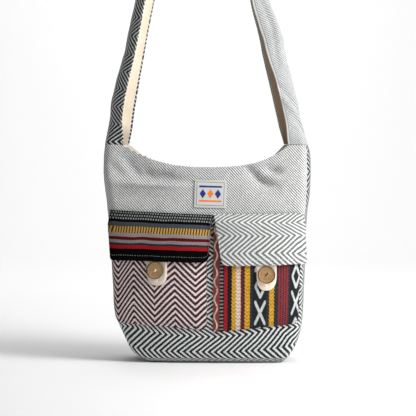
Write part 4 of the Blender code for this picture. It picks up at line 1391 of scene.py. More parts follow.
class JHOLA_OT_back_and_sides(Operator):
    """Makes the plain twill back and the strip that forms the sides and the base"""

    bl_idname = "jhola.back_and_sides"
    bl_label = "Back, sides and base"

    def execute(self, context):
        t = panel_columns()
        heights = heights_to(YOKE_SEAM_HEIGHT)
        upper = np.linspace(0, 1, 38)[1:]
        height = wall_heights(t, heights, upper, 1)
        tt = np.broadcast_to(t, height.shape)
        middle = panel(np.zeros_like(heights), heights, 1)
        v = travelled(middle)
        lower_v = np.broadcast_to((v - v[-1] + YOKE_SEAM_HEIGHT)[:, None], (len(heights), len(t)))
        v = np.concatenate([lower_v, height[len(heights):]])
        below = mouth_height(tt, 1) - height
        open_edge = ease((MOUTH_END_BACK - np.abs(tt)) / 0.08)
        relief = hem_relief(below, 12 * MM) * open_edge + pucker(edge_girth(tt, height), height)
        relief = np.where(height <= 0, 0, relief)
        piece, uv = panel_piece("back_cloth", tt, height, 1, PANEL_CLOTH, relief, v)
        twill = twill_material("grey_twill_back")
        dress(piece, "back_panel", twill, cut=cut_of(uv))

        outer, inner, uv = strip_grids()
        piece = closed_sheet("side_gusset_cloth", outer, inner, uv)
        cloth = herringbone_material("black_white_side", dark_share=0.74)
        dress(piece, "side_gusset", cloth, cut=cut_of(uv))
        return {"FINISHED"}


def strip_grids():
    """The side and base strip: down the left, across the base and up the right, as outer and inner grids."""
    upper = np.linspace(YOKE_SEAM_HEIGHT, BODY_HEIGHT, 40)[1:]
    heights = np.concatenate([heights_to(YOKE_SEAM_HEIGHT), upper])
    shares = np.linspace(-1, 1, 23)
    ss, hh = np.meshgrid(shares, heights)
    grids = []
    for out in (0.0, -PANEL_CLOTH):
        parts = []
        for sign in (-1, 1):
            inside = np.sqrt(np.clip(1 - np.abs(ss), 0, 1))
            swell = unevenness(hh, ss * 0.03, 0.5 * MM) * ease(hh / (4 * BASE_ROUNDING)) * inside
            parts.append(gusset_grid(hh, sign, ss, np.zeros_like(hh) + out + np.minimum(swell, 0.4 * MM)))
        level = level_at(np.zeros(1))
        along = np.linspace(0, 1, 90)[1:-1]
        aa, sb = np.meshgrid(along, shares, indexing="ij")
        x = blend(-level.left[0], level.right[0], aa)
        y = sb * (level.gusset[0] / 2 - SEAM_GAP / 2)
        base = world(x, y, np.zeros_like(x) - out)
        grids.append(np.concatenate([parts[0][::-1], base, parts[1]]))
    outer, inner = grids
    length = travelled(outer[:, len(shares) // 2])
    row_heights = np.concatenate([hh[::-1], np.zeros((len(along), len(shares))), hh])
    width = shares * level_at(row_heights).gusset / 2
    return outer, inner, np.stack([width, np.broadcast_to(length[:, None], width.shape)], axis=-1)


class JHOLA_OT_lining(Operator):
    """Makes the cream lining, one pouch with its own base"""

    bl_idname = "jhola.lining"
    bl_label = "Lining"

    def execute(self, context):
        t = panel_columns(4 * MM)
        heights = heights_to(YOKE_SEAM_HEIGHT, 4 * MM)
        upper = np.linspace(0, 1, 26)[1:]
        strip = np.linspace(-1, 1, 11)[1:-1]
        grids = []
        for out in (0.0, LINING_CLOTH):
            panels = []
            for side in (-1, 1):
                height = wall_heights(t, heights, upper, side)
                tt = np.broadcast_to(t, height.shape)
                points = panel(tt, height, side)
                normal = panel_normals(points, tt, height, side)
                below = mouth_height(tt, side) - height
                slack = 1.2 * MM * ease(below / (60 * MM)) * ease(height / (30 * MM))
                ripple = slack * (1 + np.sin(tt * 19 + 2 * np.sin(height * 31))) / 2
                depth = PANEL_CLOTH + LAYER_GAP + ripple + out
                panels.append((points - normal * depth[..., None], height))
            sides = []
            column_height = np.concatenate([heights, blend(YOKE_SEAM_HEIGHT, BODY_HEIGHT, upper)])
            for sign in (1, -1):
                ss, hh = np.meshgrid(strip * sign, column_height)
                sides.append(gusset_grid(hh, sign, ss, np.zeros_like(hh) - (PANEL_CLOTH + LAYER_GAP + out)))
            ring = np.concatenate([panels[0][0], sides[0], panels[1][0][:, ::-1], sides[1]], axis=1)
            closing = [ring[0] * (1, share, 1) for share in (0.0, 0.25, 0.5, 0.75)]
            grids.append(np.concatenate([np.array(closing), ring]))
        outer, inner = grids
        girth = travelled(np.concatenate([outer[LINING_GIRTH_ROW], outer[LINING_GIRTH_ROW][:1]]))[:-1]
        up = travelled(outer[:, len(t) // 2])
        uv = np.stack(np.broadcast_arrays(girth[None, :], up[:, None]), axis=-1)
        piece = closed_sheet("bag_lining_cloth", outer, inner, uv, wrap=True)
        width, length, _ = cut_of(uv)
        cut = (width, length, 0.9 * width * length)
        # painted light: the bag's lining is a lighter copy of the cream, as where light falls into the mouth
        cloth = lining_material("cream_cotton", BAG_LINING_PAINTED_LIGHT)
        dress(piece, "bag_lining", cloth, cut=cut)
        return {"FINISHED"}


Spine = namedtuple("Spine", "at x height front back length")


def spine_rows(stations):
    """The strap's fold line from the bag to the top, as rows along its length."""
    rows = []
    for s in stations:
        height = BODY_HEIGHT + s.rise * STRAP_RISE
        rows.append((s.fold * HALF_WIDTH, height, s.front * STRAP_FRONT_ARM, s.back * STRAP_BACK_ARM))
    centre = BODY_HEIGHT + STRAP_RISE - STRAP_ARCH_RADIUS
    for k in range(ARCH_STEPS + 1):
        angle = blend(ARCH_START_ANGLE, math.pi / 2, k / ARCH_STEPS)
        reach = blend(stations[-1].front * STRAP_FRONT_ARM, STRAP_ARCH_REACH, (k + 1) / (ARCH_STEPS + 1))
        height = centre + STRAP_ARCH_RADIUS * math.sin(angle)
        rows.append((STRAP_ARCH_RADIUS * math.cos(angle), height, reach, reach))
    far = travelled(np.array(rows)[:, :2])
    return [Spine(at / far[-1], *row, far[-1]) for at, row in zip(far, rows)]


def horn_section(sign):
    """The body's own section at the foot of the strap, as shares from its front end to its back end."""
    level = level_at(np.array(BODY_HEIGHT))
    half = float(level.right if sign > 0 else level.left)
    corner = float(level.corner)
    side_half = float(level.gusset) / 2
    shares = np.linspace(-1, 1, 161)
    end = np.where(shares < 0, MOUTH_END, MOUTH_END_BACK)
    straight = (half - corner) * (1 - end / FILLET_START)
    arc = corner * math.pi / 2
    run = np.abs(shares) * (side_half + arc + straight)
    place = np.clip(run / side_half, 0, 1)
    side_x = sign * (half + GUSSET_BELLY * (1 - place ** 2))
    side_part = world(side_x, np.sign(shares) * run, np.full_like(run, BODY_HEIGHT))
    past = run - side_half
    t = np.where(
        past <= arc,
        1 - (1 - FILLET_START) * past / arc,
        FILLET_START - (FILLET_START - end) * (past - arc) / straight,
    )
    t = np.clip(t, 0, 1)
    top = np.full_like(t, BODY_HEIGHT)
    front = panel(sign * t, top, -1)
    back = panel(sign * t, top, 1)
    panel_part = np.where((shares < 0)[:, None], front, back)
    return shares, np.where((run <= side_half)[:, None], side_part, panel_part)


def strap_points(sign, rows, along, share):
    """The strap's outer face: along runs up the strap, share from its front edge to its back edge."""
    step = 0.004
    x = look_up(rows, "x", along)
    height = look_up(rows, "height", along)
    dx = look_up(rows, "x", along + step) - look_up(rows, "x", along - step)
    dh = look_up(rows, "height", along + step) - look_up(rows, "height", along - step)
    top = along >= 1 - step
    dx = np.where(top, -1.0, dx)
    dh = np.where(top, 0.0, dh)
    length = np.hypot(dx, dh)
    front = share < 0
    arm = np.where(front, STRAP_FRONT_ARM, STRAP_BACK_ARM)
    reach = np.where(front, look_up(rows, "front", along), look_up(rows, "back", along))
    depth = np.sqrt(np.maximum(2 * (2 * arm / math.pi) ** 2 - reach * reach, STRAP_LEAST_DEPTH ** 2))
    angle = np.abs(share) * math.pi / 2
    inward = reach * (1 - np.cos(angle))
    point = world(
        sign * (x - dh / length * inward),
        np.where(front, -1, 1) * depth * np.sin(angle),
        height + dx / length * inward,
    )
    shares, section = horn_section(sign)
    foot = np.stack([np.interp(share, shares, section[:, k]) for k in range(3)], axis=-1)
    rise = height - BODY_HEIGHT
    foot[..., 0] += sign * (x - rows[0].x)
    foot[..., 2] += rise
    mix = ease(rise / STRAP_ROOT_BLEND)[..., None]
    return foot * (1 - mix) + point * mix


def strap_creases(rows, creases, along, share):
    """How far the strap is dented, with its long soft waves."""
    up = along * rows[0].length
    arm = np.where(share < 0, STRAP_FRONT_ARM, STRAP_BACK_ARM)
    from_fold = share * arm
    depth = np.zeros(np.broadcast(up, from_fold).shape)
    for fold in creases:
        da = up - fold.up * MM
        db = from_fold - fold.across * MM
        depth += fold.depth * MM * dent(da, db, fold.angle, fold.length * MM, fold.width * MM)
    calm = ease(up / (20 * MM)) * ease((1 - along) * 12)
    return (depth * bpy.context.scene.bag_sizes.crease_strength + unevenness(up, from_fold, 0.8 * MM)) * calm


def strap_half(name, sign, stations, creases, inset, out, thickness, step=2.6 * MM):
    """One half of the strap, or of its lining, which stops short of the strap's edges by inset."""
    rows = spine_rows(stations)
    count = int(rows[0].length / step)
    along = np.linspace(0, 1, count)
    shares = np.linspace(-1, 1, 33)
    if inset:
        shares = shares * (1 - inset / STRAP_FRONT_ARM)
    ss, aa = np.meshgrid(shares, along)
    points = strap_points(sign, rows, aa, ss)
    points[-1, :, 0] = 0
    normal = normals(points, sign)
    normal[0, :, 2] = 0
    normal[-1, :, 0] = 0
    normal /= np.linalg.norm(normal, axis=-1, keepdims=True)
    points = points - normal * strap_creases(rows, creases, aa, ss)[..., None]
    arm = np.where(ss < 0, STRAP_FRONT_ARM, STRAP_BACK_ARM)
    relief = 0.0
    if not inset:
        relief = hem_relief((1 - np.abs(ss)) * arm, 7 * MM)
    outer = points + normal * (out + relief)[..., None] if np.ndim(relief) else points + normal * out
    inner = points + normal * (out - thickness)
    for grid in (outer, inner):
        grid[0, :, 2] += SEAM_GAP
        grid[-1, :, 0] = sign * SEAM_GAP / 2
    uv = np.stack([ss * arm, aa * rows[0].length], axis=-1)
    return closed_sheet(name, outer, inner, uv), uv, outer, normal


class JHOLA_OT_strap(Operator):
    """Makes both halves of the folded strap, their linings and their hem stitches"""

    bl_idname = "jhola.strap"
    bl_label = "Strap"

    def execute(self, context):
        lining_out = -(PANEL_CLOTH + LAYER_GAP)
        halves = (
            ("left", (-1, STRAP_LEFT, CREASES_LEFT), "strap_herringbone", "dark_herringbone_strap"),
            ("right", (1, STRAP_RIGHT, CREASES_RIGHT), "strap_grey", "grey_twill_strap"),
        )
        for tag, shape, node, slot in halves:
            piece, uv, outer, normal = strap_half(f"strap_{tag}_cloth", *shape, 0, 0.0, PANEL_CLOTH)
            if tag == "left":
                cloth = herringbone_material("black_white_strap", -4.5 * MM, 25.3 * MM, 7.6 * MM, 1.25, 0.68)
            else:
                hem_at = ROLLED_HEM - STRAP_FRONT_ARM
                cloth = twill_material("grey_twill_strap", STRAP_TWILL_DARK, STRAP_TWILL_LIGHT, hem_at)
            thread = thread_material(f"strap_thread_{tag}", STRAP_THREADS[tag])
            for edge, at in (("front", 2), ("back", -3)):
                line = (outer[2:-2, at], normal[2:-2, at])
                stitch_row(f"strap_{tag}_{edge}_stitches", *line, thread)
            dress(piece, node, cloth, cut_of(uv))
            inset = STRAP_HEM - 1 * MM
            piece, uv, _, _ = strap_half(f"strap_{tag}_lining", *shape, inset, lining_out, LINING_CLOTH)
            # painted light on the left strap's lining and painted shade on the right strap's lining, both
            # copies of the same cream
            cloth = lining_material(f"cream_cotton_{tag}", LINING_PAINTED_LIGHT_AND_SHADE[tag])
            dress(piece, f"strap_lining_{tag}", cloth, cut=cut_of(uv))
        return {"FINISHED"}


def patch_height(patch, u, v):
    share = (u + 1) / 2
    low = blend(patch.bottom_left, patch.bottom_right, share) * YOKE_SEAM_HEIGHT
    high = blend(patch.top_left, patch.top_right, share) * YOKE_SEAM_HEIGHT
    corner = np.where(u < 0, patch.corner_left, patch.corner_right) * HALF_WIDTH
    width = (patch.right - patch.left) * HALF_WIDTH
    past = np.maximum(np.abs(u) - (1 - 2 * corner / width), 0) / (2 * corner / width)
    low = low + corner * (1 - np.sqrt(np.clip(1 - past * past, 0, 1)))
    return blend(low, high, v)


def patch_across(patch, u, v):
    left = blend(patch.left_low, patch.left, v)
    right = blend(patch.right_low, patch.right, v)
    return blend(left, right, (u + 1) / 2)


def pocket_puff(patch, t, height):
    u = (t - (patch.left + patch.right) / 2) / ((patch.right - patch.left) / 2)
    held = np.clip(u, -0.999, 0.999)
    low = patch_height(patch, held, 0)
    high = patch_height(patch, held, 1)
    v = np.clip((height - low) / (high - low), 0, 1)
    return POCKET_PUFF * np.maximum(1 - np.abs(u) ** 4, 0) * (1 - (1 - v) ** 3)


def over_pocket(patch, t, height):
    return PATCH_CLEARANCE + POCKET_CLOTH + pocket_puff(patch, t, height)


def flap_rise(pocket, t, height):
    seam = FLAP_LIFT_START * YOKE_SEAM_HEIGHT
    edge = pocket.top_left * YOKE_SEAM_HEIGHT
    lift = 1 - ease((height - edge) / (seam - edge))
    return PATCH_CLEARANCE + lift * (over_pocket(pocket, t, height) - PATCH_CLEARANCE + FLAP_CLEARANCE)


def front_normals(t, height):
    """Outward directions of the front at scattered places."""
    step_t = 0.004
    step_h = 0.6 * MM
    t = np.clip(t, -1 + step_t, 1 - step_t)
    height = np.clip(height, step_h, BODY_HEIGHT - step_h)
    by_t = panel(t + step_t, height, -1) - panel(t - step_t, height, -1)
    by_h = panel(t, height + step_h, -1) - panel(t, height - step_h, -1)
    found = np.cross(by_t, by_h)
    return found / np.linalg.norm(found, axis=-1, keepdims=True)


def patch_grid(patch, step=2.3 * MM):
    """Grids of u, v, share across the panel and height over a patch."""
    width = (patch.right - patch.left) / FILLET_START * HALF_WIDTH
    height = (patch.top_left - patch.bottom_left) * YOKE_SEAM_HEIGHT
    columns = np.sin(np.linspace(-math.pi / 2, math.pi / 2, int(1.25 * width / step)))
    rows = np.linspace(0, 1, int(height / step))
    u, v = np.meshgrid(columns, rows)
    return u, v, patch_across(patch, u, v), patch_height(patch, u, v)


def patch_edges(points):
    """Distances of a patch's grid points from its left, right, lower and upper edges, in metres."""
    side_way = np.stack([travelled(row) for row in points])
    up_way = np.stack([travelled(points[:, c]) for c in range(points.shape[1])], axis=1)
    return side_way, side_way[:, -1:] - side_way, up_way, up_way[-1:] - up_way


def patch_sheet(name, points, normal, relief, thickness, uv):
    outer = points + normal * (thickness + relief)[..., None]
    return closed_sheet(name, outer, points, uv), outer


class JHOLA_OT_pockets(Operator):
    """Makes the maroon herringbone pocket and the striped pocket, sewn down round three sides"""

    bl_idname = "jhola.pockets"
    bl_label = "Pockets"

    def execute(self, context):
        sizes = context.scene.bag_sizes
        colours = context.scene.bag_colours
        maroon = zigzag_paint(
            colours.maroon_yarn,
            colours.pale_yarn,
            8.3 * MM,
            sizes.pocket_wale,
            -0.9,
            0.57,
            turned=True,
            shift=10.8 * MM,
            slant=2.6,
            bend=pinched_side,
            thread=1.2 * MM,
            ragged=0.22,
        )
        striped = pocket_stripes(STRIPED_POCKET_WIDTH)
        pieces = (
            ("pocket_maroon", POCKET_LEFT_AT, "maroon_herringbone", maroon, (0.30, 0.22, 0.22)),
            ("pocket_striped", POCKET_RIGHT_AT, "folk_stripes_pocket", striped, (0.05, 0.05, 0.06)),
        )
        for node, patch, slot, paint, thread in pieces:
            _, _, t, height = patch_grid(patch)
            normal = front_normals(t, height)
            out = PATCH_CLEARANCE + pocket_puff(patch, t, height)
            points = panel(t, height, -1) + normal * out[..., None]
            left, right, low, _ = patch_edges(points)
            edge = np.minimum(np.minimum(left, right), low)
            around = np.where(low < np.minimum(left, right), left, low)
            relief = pucker(edge, around) - SEAM_DEPTH * bell((edge - 2.6 * MM) / (0.9 * MM))
            girth = girth_at(t, height)
            if patch is POCKET_RIGHT_AT:
                girth = girth - girth_at(np.full_like(t, patch.left), height)
            uv = np.stack([girth, height], axis=-1)
            piece, outer = patch_sheet(f"{node}_cloth", points, normal, relief, POCKET_CLOTH, uv)
            stitches = pocket_stitches(node, outer, normal, thread_material(f"{node}_thread", thread))
            cloth = cloth_material(slot, paint, slub=0.40, bump=0.6, sheen=0.08, gloss=0.1)
            dress(piece, node, cloth, cut_of(uv))
        return {"FINISHED"}


def pocket_stitches(node, outer, normal, thread):
    """One line of stitches down both sides of a pocket and along its lower edge."""
    places = [(r, 2) for r in range(outer.shape[0] - 1, 2, -1)]
    places += [(2, c) for c in range(3, outer.shape[1] - 3)]
    places += [(r, outer.shape[1] - 3) for r in range(3, outer.shape[0])]
    return stitch_places(f"{node}_stitches", places, outer, normal, thread)


class JHOLA_OT_flaps(Operator):
    """Makes the striped flap and the white chevron flap, which hang over the pockets"""

    bl_idname = "jhola.flaps"
    bl_label = "Flaps"

    def execute(self, context):
        colours = context.scene.bag_colours
        chevron = zigzag_paint(
            colours.chevron_grey,
            colours.chevron_white,
            7.9 * MM,
            24.6 * MM,
            -1.12,
            0.50,
            shift=-5.1 * MM,
            softness=0.24,
            bend=folded_flap,
            drift=1.6 * MM,
            ragged=0.35,
        )
        stripes = flap_stripes(STRIPED_FLAP_HEIGHT)
        pieces = (
            ("flap_striped", FLAP_LEFT_AT, POCKET_LEFT_AT, "folk_stripes_flap", stripes),
            ("flap_white", FLAP_RIGHT_AT, POCKET_RIGHT_AT, "white_herringbone", chevron),
        )
        for node, patch, pocket, slot, paint in pieces:
            u, v, t, height = patch_grid(patch)
            normal = front_normals(t, height)
            hanging = 1 - v
            wave = np.sin(7.1 * u + 0.6) + 0.6 * np.sin(13.7 * u + 2.1)
            swing = 0.55 * MM * (1.2 + wave) * hanging ** 2
            points = panel(t, height, -1) + normal * (flap_rise(pocket, t, height) + swing)[..., None]
            left, right, low, high = patch_edges(points)
            edge = np.minimum(np.minimum(left, right), low)
            seam = SEAM_DEPTH * bell((high - 2 * MM) / MM)
            relief = hem_relief(edge, 9 * MM) + pucker(high, left, 3 * MM) - seam
            top = np.broadcast_to(height[-1], height.shape)
            hem = blend(patch.bottom_left, patch.bottom_right, (u + 1) / 2) * YOKE_SEAM_HEIGHT
            share = (top - height) / (top - hem)
            striped = node == "flap_striped"
            uv = np.stack([girth_at(t, height), share * STRIPED_FLAP_HEIGHT if striped else height], axis=-1)
            piece, outer = patch_sheet(f"{node}_cloth", points, normal, relief, FLAP_CLOTH, uv)
            thread = (0.30, 0.30, 0.29) if striped else (0.80, 0.80, 0.79)
            sheen = 0.0 if striped else 0.25
            stitches = hem_stitches(node, outer, normal, thread_material(f"{node}_thread", thread))
            cloth = cloth_material(slot, paint, slub=0.14, bump=0.55, sheen=sheen, gloss=0.8 * sheen)
            dress(piece, node, cloth, cut_of(uv))
        return {"FINISHED"}


def hem_stitches(node, outer, normal, thread):
    """The running stitch along a flap's hem, which turns up its inner side."""
    rows = outer.shape[0]
    columns = outer.shape[1]
    inset = int(round(7 * MM / (2.3 * MM)))
    side = columns - 7 if node == "flap_striped" else 6
    across_way = range(5, side) if node == "flap_striped" else range(columns - 6, side, -1)
    places = [(inset, c) for c in across_way] + [(r, side) for r in range(inset + 1, rows - 2)]
    return stitch_places(f"{node}_stitches", places, outer, normal, thread, 3.4 * MM, 2.0 * MM)


def button_place(closure, pocket):
    """Where the button's flat underside lies: over the loop, turned a little about the vertical."""
    lean = math.radians(closure.turn)
    x = np.array([closure.x * HALF_WIDTH])
    height = np.array([closure.height * YOKE_SEAM_HEIGHT])
    t = share_across(x, height)
    normal = Vector(smooth_front_normal(t, height))
    out = LOOP_CLEARANCE * 2 + LOOP_CLOTH + BUTTON_DIAMETER / 2 * math.sin(abs(lean))
    centre = Vector(panel(t, height, -1)[0]) + normal * float(over_pocket(pocket, t, height)[0] + out)
    turn = normal.to_track_quat("Z", "Y").to_matrix().to_4x4()
    level_up = turn.inverted() @ Vector((0, 0, 1))
    spin = Matrix.Rotation(math.atan2(-level_up.x, level_up.y), 4, "Z")
    twist = Matrix.Rotation(BUTTON_TWIST, 4, "Z")
    return Matrix.Translation(centre) @ Matrix.Rotation(lean, 4, "Z") @ turn @ spin @ twist


def smooth_front_normal(t, height):
    """The front's direction at one place, averaged so that no small crease tips what lies there."""
    shifts = np.array([-8, 0, 8]) * MM
    found = np.zeros(3)
    for shift in shifts:
        found += front_normals(t, height + shift)[0] + front_normals(t + shift / HALF_WIDTH, height)[0]
    return found / np.linalg.norm(found)


class JHOLA_OT_closures(Operator):
    """Makes the cloth loops, the coconut buttons and the threads that hold them"""

    bl_idname = "jhola.closures"
    bl_label = "Loops and buttons"

    def execute(self, context):
        for tag, closure, pocket in (
            ("left", CLOSURE_LEFT, POCKET_LEFT_AT),
            ("right", CLOSURE_RIGHT, POCKET_RIGHT_AT),
        ):
            self.make_loop(context, tag, closure, pocket)
            self.make_button(context, tag, closure, pocket)
            self.make_thread(tag, closure, pocket)
        return {"FINISHED"}

    def make_loop(self, context, tag, closure, pocket):
        half_width = closure.loop_half_width * HALF_WIDTH
        top = closure.loop_top * YOKE_SEAM_HEIGHT
        bottom = closure.loop_bottom * YOKE_SEAM_HEIGHT
        slit_x = BUTTON_HOLE_SPACING / 2 + 2.2 * THREAD_DIAMETER
        slit_z = 1.5 * THREAD_DIAMETER
        sides = 72
        shares = np.linspace(0, 1, 15)
        angle = np.linspace(0, 2 * math.pi, sides, endpoint=False)
        aa, ss = np.meshgrid(angle, shares)
        sine = np.sin(aa)
        up = -np.cos(aa)
        round_end = np.where(up < 0, np.abs(up) ** 0.7, np.abs(up) ** 0.45)
        outer_x = closure.loop_x * HALF_WIDTH + half_width * np.sign(sine) * np.abs(sine) ** 0.75
        outer_z = (top + bottom) / 2 + np.sign(up) * round_end * (top - bottom) / 2
        button_x = closure.x * HALF_WIDTH
        button_z = closure.height * YOKE_SEAM_HEIGHT
        x = blend(button_x + slit_x * sine, outer_x, ss)
        height = blend(button_z + slit_z * up, outer_z, ss)
        t = share_across(x, height)
        base = over_pocket(pocket, t, height)
        beyond = np.hypot(x - button_x, height - button_z) - BUTTON_DIAMETER / 2
        puff = 1.5 * MM * ease(beyond / (3 * MM)) * ease((1 - ss) / 0.25)
        fold = 0.8 * MM * bell((beyond - 3.2 * MM) / (0.9 * MM)) * (beyond > 0)
        from_crease = x - closure.loop_x * HALF_WIDTH - 2 * MM
        crease = 0.9 * MM * bell(from_crease / (0.9 * MM)) * (up < 0) * (beyond > 0)
        points = panel(t, height, -1)
        normal = front_normals(t, height)
        above = LOOP_CLEARANCE + LOOP_CLOTH + puff - (fold + crease) * ease((1 - ss) / 0.25)
        outer = points + normal * (base + above)[..., None]
        inner = points + normal * (base + LOOP_CLEARANCE)[..., None]
        uv = np.stack([x, height], axis=-1)
        piece = closed_sheet(f"loop_{tag}_cloth", outer, inner, uv, wrap=True)
        width = 2 * half_width
        length = top - bottom
        cut = (width, length, LOOP_AREA_SHARE * width * length)
        paint = ribbed_paint(toned(context.scene.bag_colours.loop_cream, LOOP_TONES[tag]), 0.35)
        cloth = cloth_material(f"cream_loop_{tag}", paint, slub=0.14, uneven=0.2, bump=0.6)
        dress(piece, f"loop_{tag}", cloth, cut=cut)

    def make_button(self, context, tag, closure, pocket):
        sides = context.scene.bag_sizes.button_sides
        radius = BUTTON_DIAMETER / 2
        thick = BUTTON_THICKNESS
        rings = np.array(BUTTON_PROFILE[1:-1]) * (radius, thick)
        angle = np.linspace(0, 2 * math.pi, sides, endpoint=False)
        wide, high = rings[:, :1], np.repeat(rings[:, 1:], sides, axis=1)
        ring_points = np.stack([wide * np.cos(angle), wide * np.sin(angle), high], axis=-1)
        wobble = 1 + 0.008 * np.sin(3 * angle + 0.7) + 0.006 * np.sin(5 * angle)
        ring_points[..., :2] *= wobble[None, :, None]
        ends = [[0, 0, BUTTON_PROFILE[0][1] * thick], [0, 0, BUTTON_PROFILE[-1][1] * thick]]
        points = np.concatenate([ring_points.reshape(-1, 3), ends])
        faces = ring_faces(len(rings), sides)
        piece = mesh_piece(f"button_{tag}_shell", points, faces, points[:, :2].copy())
        piece.matrix_world = button_place(closure, pocket)
        cut_holes(piece)
        pits = 0 if tag == "left" else 1
        piece.data.materials.clear()
        piece.data.materials.append(shell_material(f"coconut_shell_{tag}", pits, SHELL_TONES[tag]))
        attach(piece, "root")
        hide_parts(f"button_{tag}")

    def make_thread(self, tag, closure, pocket):
        spread = BUTTON_HOLE_SPACING / 2
        top = BUTTON_THICKNESS * 0.86
        place = np.array(button_place(closure, pocket))
        foot = -(LOOP_CLEARANCE + LOOP_CLOTH + LOOP_CLEARANCE) * 0.8
        strands = []
        faces = []
        total = 0
        for shift in THREAD_SHIFTS:
            y = shift * THREAD_DIAMETER * 0.75
            lift = 0.30 * MM - abs(shift) * 0.3 * MM
            half = [
                (spread, y, foot),
                (spread, y, top * 0.5),
                (spread * 0.98, y, top - 0.1 * MM),
                (spread * 0.72, y, top + 0.42 * MM + lift),
            ]
            line = [(-x, y, z) for x, y, z in half] + [(0, y * 1.3, top + 0.62 * MM + lift)] + half[::-1]
            points, quads = tube(line, 0.36 * MM, 8)
            strands.append(points)
            faces += [[v + total for v in face] for face in quads]
            total += len(points)
        points = np.concatenate(strands)
        points = points @ place[:3, :3].T + place[:3, 3]
        piece = mesh_piece(f"thread_{tag}_strands", points, faces)
        piece.data.materials.append(thread_material(f"button_thread_{tag}", BUTTON_THREADS[tag]))
        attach(piece, "root")
        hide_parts(f"thread_{tag}")


def cut_holes(piece):
    """Cuts the two thread holes through a button and keeps the result as its mesh."""
    cutters = []
    for n, side in enumerate((-1, 1)):
        bpy.ops.mesh.primitive_cylinder_add(
            vertices=20, radius=BUTTON_HOLE_DIAMETER / 2, depth=4 * BUTTON_THICKNESS
        )
        cutter = bpy.context.object
        shift = Matrix.Translation((side * BUTTON_HOLE_SPACING / 2, 0, BUTTON_THICKNESS / 2))
        cutter.matrix_world = piece.matrix_world @ shift
        cut = piece.modifiers.new(f"hole_{n}", "BOOLEAN")
        cut.operation = "DIFFERENCE"
        cut.solver = "EXACT"
        cut.object = cutter
        cutters.append(cutter)
    bpy.context.view_layer.update()
    cut_mesh = bpy.data.meshes.new_from_object(piece.evaluated_get(bpy.context.evaluated_depsgraph_get()))
    piece.modifiers.clear()
    piece.data = cut_mesh
    for cutter in cutters:
        bpy.data.objects.remove(cutter)
    cut_mesh.shade_smooth()
    cut_mesh.set_sharp_from_angle(angle=math.radians(50))


class JHOLA_OT_label(Operator):
    """Makes the plain sewn label on the yoke"""

    bl_idname = "jhola.label"
    bl_label = "Label"

    def execute(self, context):
        steps_u = np.linspace(-1, 1, 40)
        steps_v = np.linspace(-1, 1, 36)
        u, v = np.meshgrid(steps_u, steps_v)
        dx = u * LABEL_WIDTH / 2
        dz = v * LABEL_HEIGHT / 2
        middle = blend(YOKE_SEAM_HEIGHT, BODY_HEIGHT, LABEL_UP_YOKE)
        x = LABEL_X * HALF_WIDTH + dx * math.cos(LABEL_TURN) - dz * math.sin(LABEL_TURN)
        height = middle + dx * math.sin(LABEL_TURN) + dz * math.cos(LABEL_TURN)
        t = share_across(x, height)
        normal = front_normals(t, height)
        points = panel(t, height, -1) + normal * PATCH_CLEARANCE
        edge = np.minimum(LABEL_WIDTH / 2 - np.abs(dx), LABEL_HEIGHT / 2 - np.abs(dz))
        relief = 0.25 * MM * ease(edge / (4 * MM)) - 0.2 * MM * bell((edge - 1.6 * MM) / (0.7 * MM))
        uv = np.stack([dx, dz], axis=-1)
        piece, outer = patch_sheet("label_patch_cloth", points, normal, relief, LABEL_CLOTH, uv)
        places = [(1, c) for c in range(1, 39)] + [(r, 38) for r in range(2, 35)]
        places += [(34, c) for c in range(37, 0, -1)] + [(r, 1) for r in range(33, 1, -1)]
        thread = thread_material("label_thread", (0.70, 0.70, 0.68))
        sizes = (2.6 * MM, 1.7 * MM, 0.22 * MM)
        stitches = stitch_places("label_stitches", places, outer, normal, thread, *sizes)
        paint = label_paint(LABEL_WIDTH, LABEL_HEIGHT)
        cloth = cloth_material("woven_label", paint, slub=0.04, uneven=0.04, bump=0.4)
        cut = (LABEL_WIDTH, LABEL_HEIGHT, LABEL_WIDTH * LABEL_HEIGHT)
        dress(piece, "label_patch", cloth, cut)
        return {"FINISHED"}


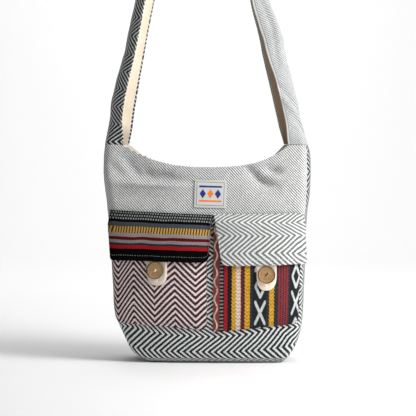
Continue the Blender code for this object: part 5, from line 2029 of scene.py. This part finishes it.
class JHOLA_OT_stage(Operator):
    """Makes the pale floor, the soft lights and the camera"""

    bl_idname = "jhola.stage"
    bl_label = "Stage"

    def execute(self, context):
        self.make_floor()
        self.make_camera(context, context.scene.bag_stage)
        for light in LIGHTS:
            self.make_light(light)
        studio = bpy.data.worlds.new("studio")
        studio.use_nodes = True
        ground = studio.node_tree.nodes["Background"]
        ground.inputs[0].default_value = (1.0, 1.0, 1.0, 1.0)
        ground.inputs[1].default_value = WORLD_STRENGTH
        context.scene.world = studio
        context.scene.view_settings.view_transform = "Standard"
        return {"FINISHED"}

    def make_floor(self):
        """A floor that curves up into the backdrop."""
        near, far, curve, top = -4.0, 1.6, 0.9, 3.5
        profile = [(near, 0.0), (far, 0.0)]
        for a in np.linspace(0, math.pi / 2, 13)[1:]:
            profile.append((far + curve * math.sin(a), curve * (1 - math.cos(a))))
        profile.append((far + curve, top))
        points = [(x, y, z - HANG_HEIGHT) for y, z in profile for x in (-4.0, 4.0)]
        faces = [(2 * k, 2 * k + 1, 2 * k + 3, 2 * k + 2) for k in range(len(profile) - 1)]
        mesh = bpy.data.meshes.new("studio_sweep")
        mesh.from_pydata(points, [], faces)
        mesh.shade_smooth()
        sweep = bpy.data.objects.new("studio_sweep", mesh)
        bpy.context.scene.collection.objects.link(sweep)
        material, _, shader = new_material("studio_paper")
        shader.inputs["Base Color"].default_value = (0.90, 0.90, 0.90, 1.0)
        shader.inputs["Roughness"].default_value = 0.9
        mesh.materials.append(material)

    def make_camera(self, context, settings):
        flat = math.cos(settings.elevation)
        rise = math.sin(settings.elevation)
        back = Vector((math.sin(settings.azimuth) * flat, -math.cos(settings.azimuth) * flat, rise))
        camera = bpy.data.cameras.new("camera")
        camera.sensor_width = 36.0
        camera.lens = camera.sensor_width * settings.distance / settings.picture_width
        eye = bpy.data.objects.new("camera", camera)
        aim = Vector((settings.aim_x, 0, settings.aim_height - HANG_HEIGHT))
        eye.location = aim + back * settings.distance
        eye.rotation_euler = (-back).to_track_quat("-Z", "Y").to_euler()
        context.scene.collection.objects.link(eye)
        context.scene.camera = eye

    def make_light(self, light):
        disk = bpy.data.lights.new(light.name, "AREA")
        disk.shape = "DISK"
        disk.size = light.width
        disk.energy = light.power
        lamp = bpy.data.objects.new(light.name, disk)
        lamp.location = Vector(light.place) - Vector((0, 0, HANG_HEIGHT))
        lamp.rotation_euler = (Vector(light.aim) - Vector(light.place)).to_track_quat("-Z", "Y").to_euler()
        bpy.context.scene.collection.objects.link(lamp)


STEPS = (
    ("front", JHOLA_OT_front),
    ("back_and_sides", JHOLA_OT_back_and_sides),
    ("lining", JHOLA_OT_lining),
    ("strap", JHOLA_OT_strap),
    ("pockets", JHOLA_OT_pockets),
    ("flaps", JHOLA_OT_flaps),
    ("closures", JHOLA_OT_closures),
    ("label", JHOLA_OT_label),
    ("stage", JHOLA_OT_stage),
)


class JHOLA_PT_panel(Panel):
    """Lists the bag's pieces and their settings in the 3D view's sidebar"""

    bl_label = "Jhola bag"
    bl_idname = "JHOLA_PT_panel"
    bl_space_type = "VIEW_3D"
    bl_region_type = "UI"
    bl_category = "Bag"

    def draw(self, context):
        layout = self.layout
        for settings in (context.scene.bag_sizes, context.scene.bag_colours, context.scene.bag_stage):
            box = layout.box()
            for name in settings.bl_rna.properties.keys():
                if name not in ("rna_type", "name"):
                    box.prop(settings, name)
        for name, operator in STEPS:
            layout.operator(operator.bl_idname)


CLASSES = (BagSizes, BagColours, StageSettings, *[operator for _, operator in STEPS], JHOLA_PT_panel)


def register():
    for cls in CLASSES:
        bpy.utils.register_class(cls)
    bpy.types.Scene.bag_sizes = PointerProperty(type=BagSizes)
    bpy.types.Scene.bag_colours = PointerProperty(type=BagColours)
    bpy.types.Scene.bag_stage = PointerProperty(type=StageSettings)


def unregister():
    del bpy.types.Scene.bag_stage
    del bpy.types.Scene.bag_colours
    del bpy.types.Scene.bag_sizes
    for cls in reversed(CLASSES):
        bpy.utils.unregister_class(cls)


def main():
    register()
    for name, _ in STEPS:
        getattr(bpy.ops.jhola, name)()


if __name__ == "__main__":
    main()
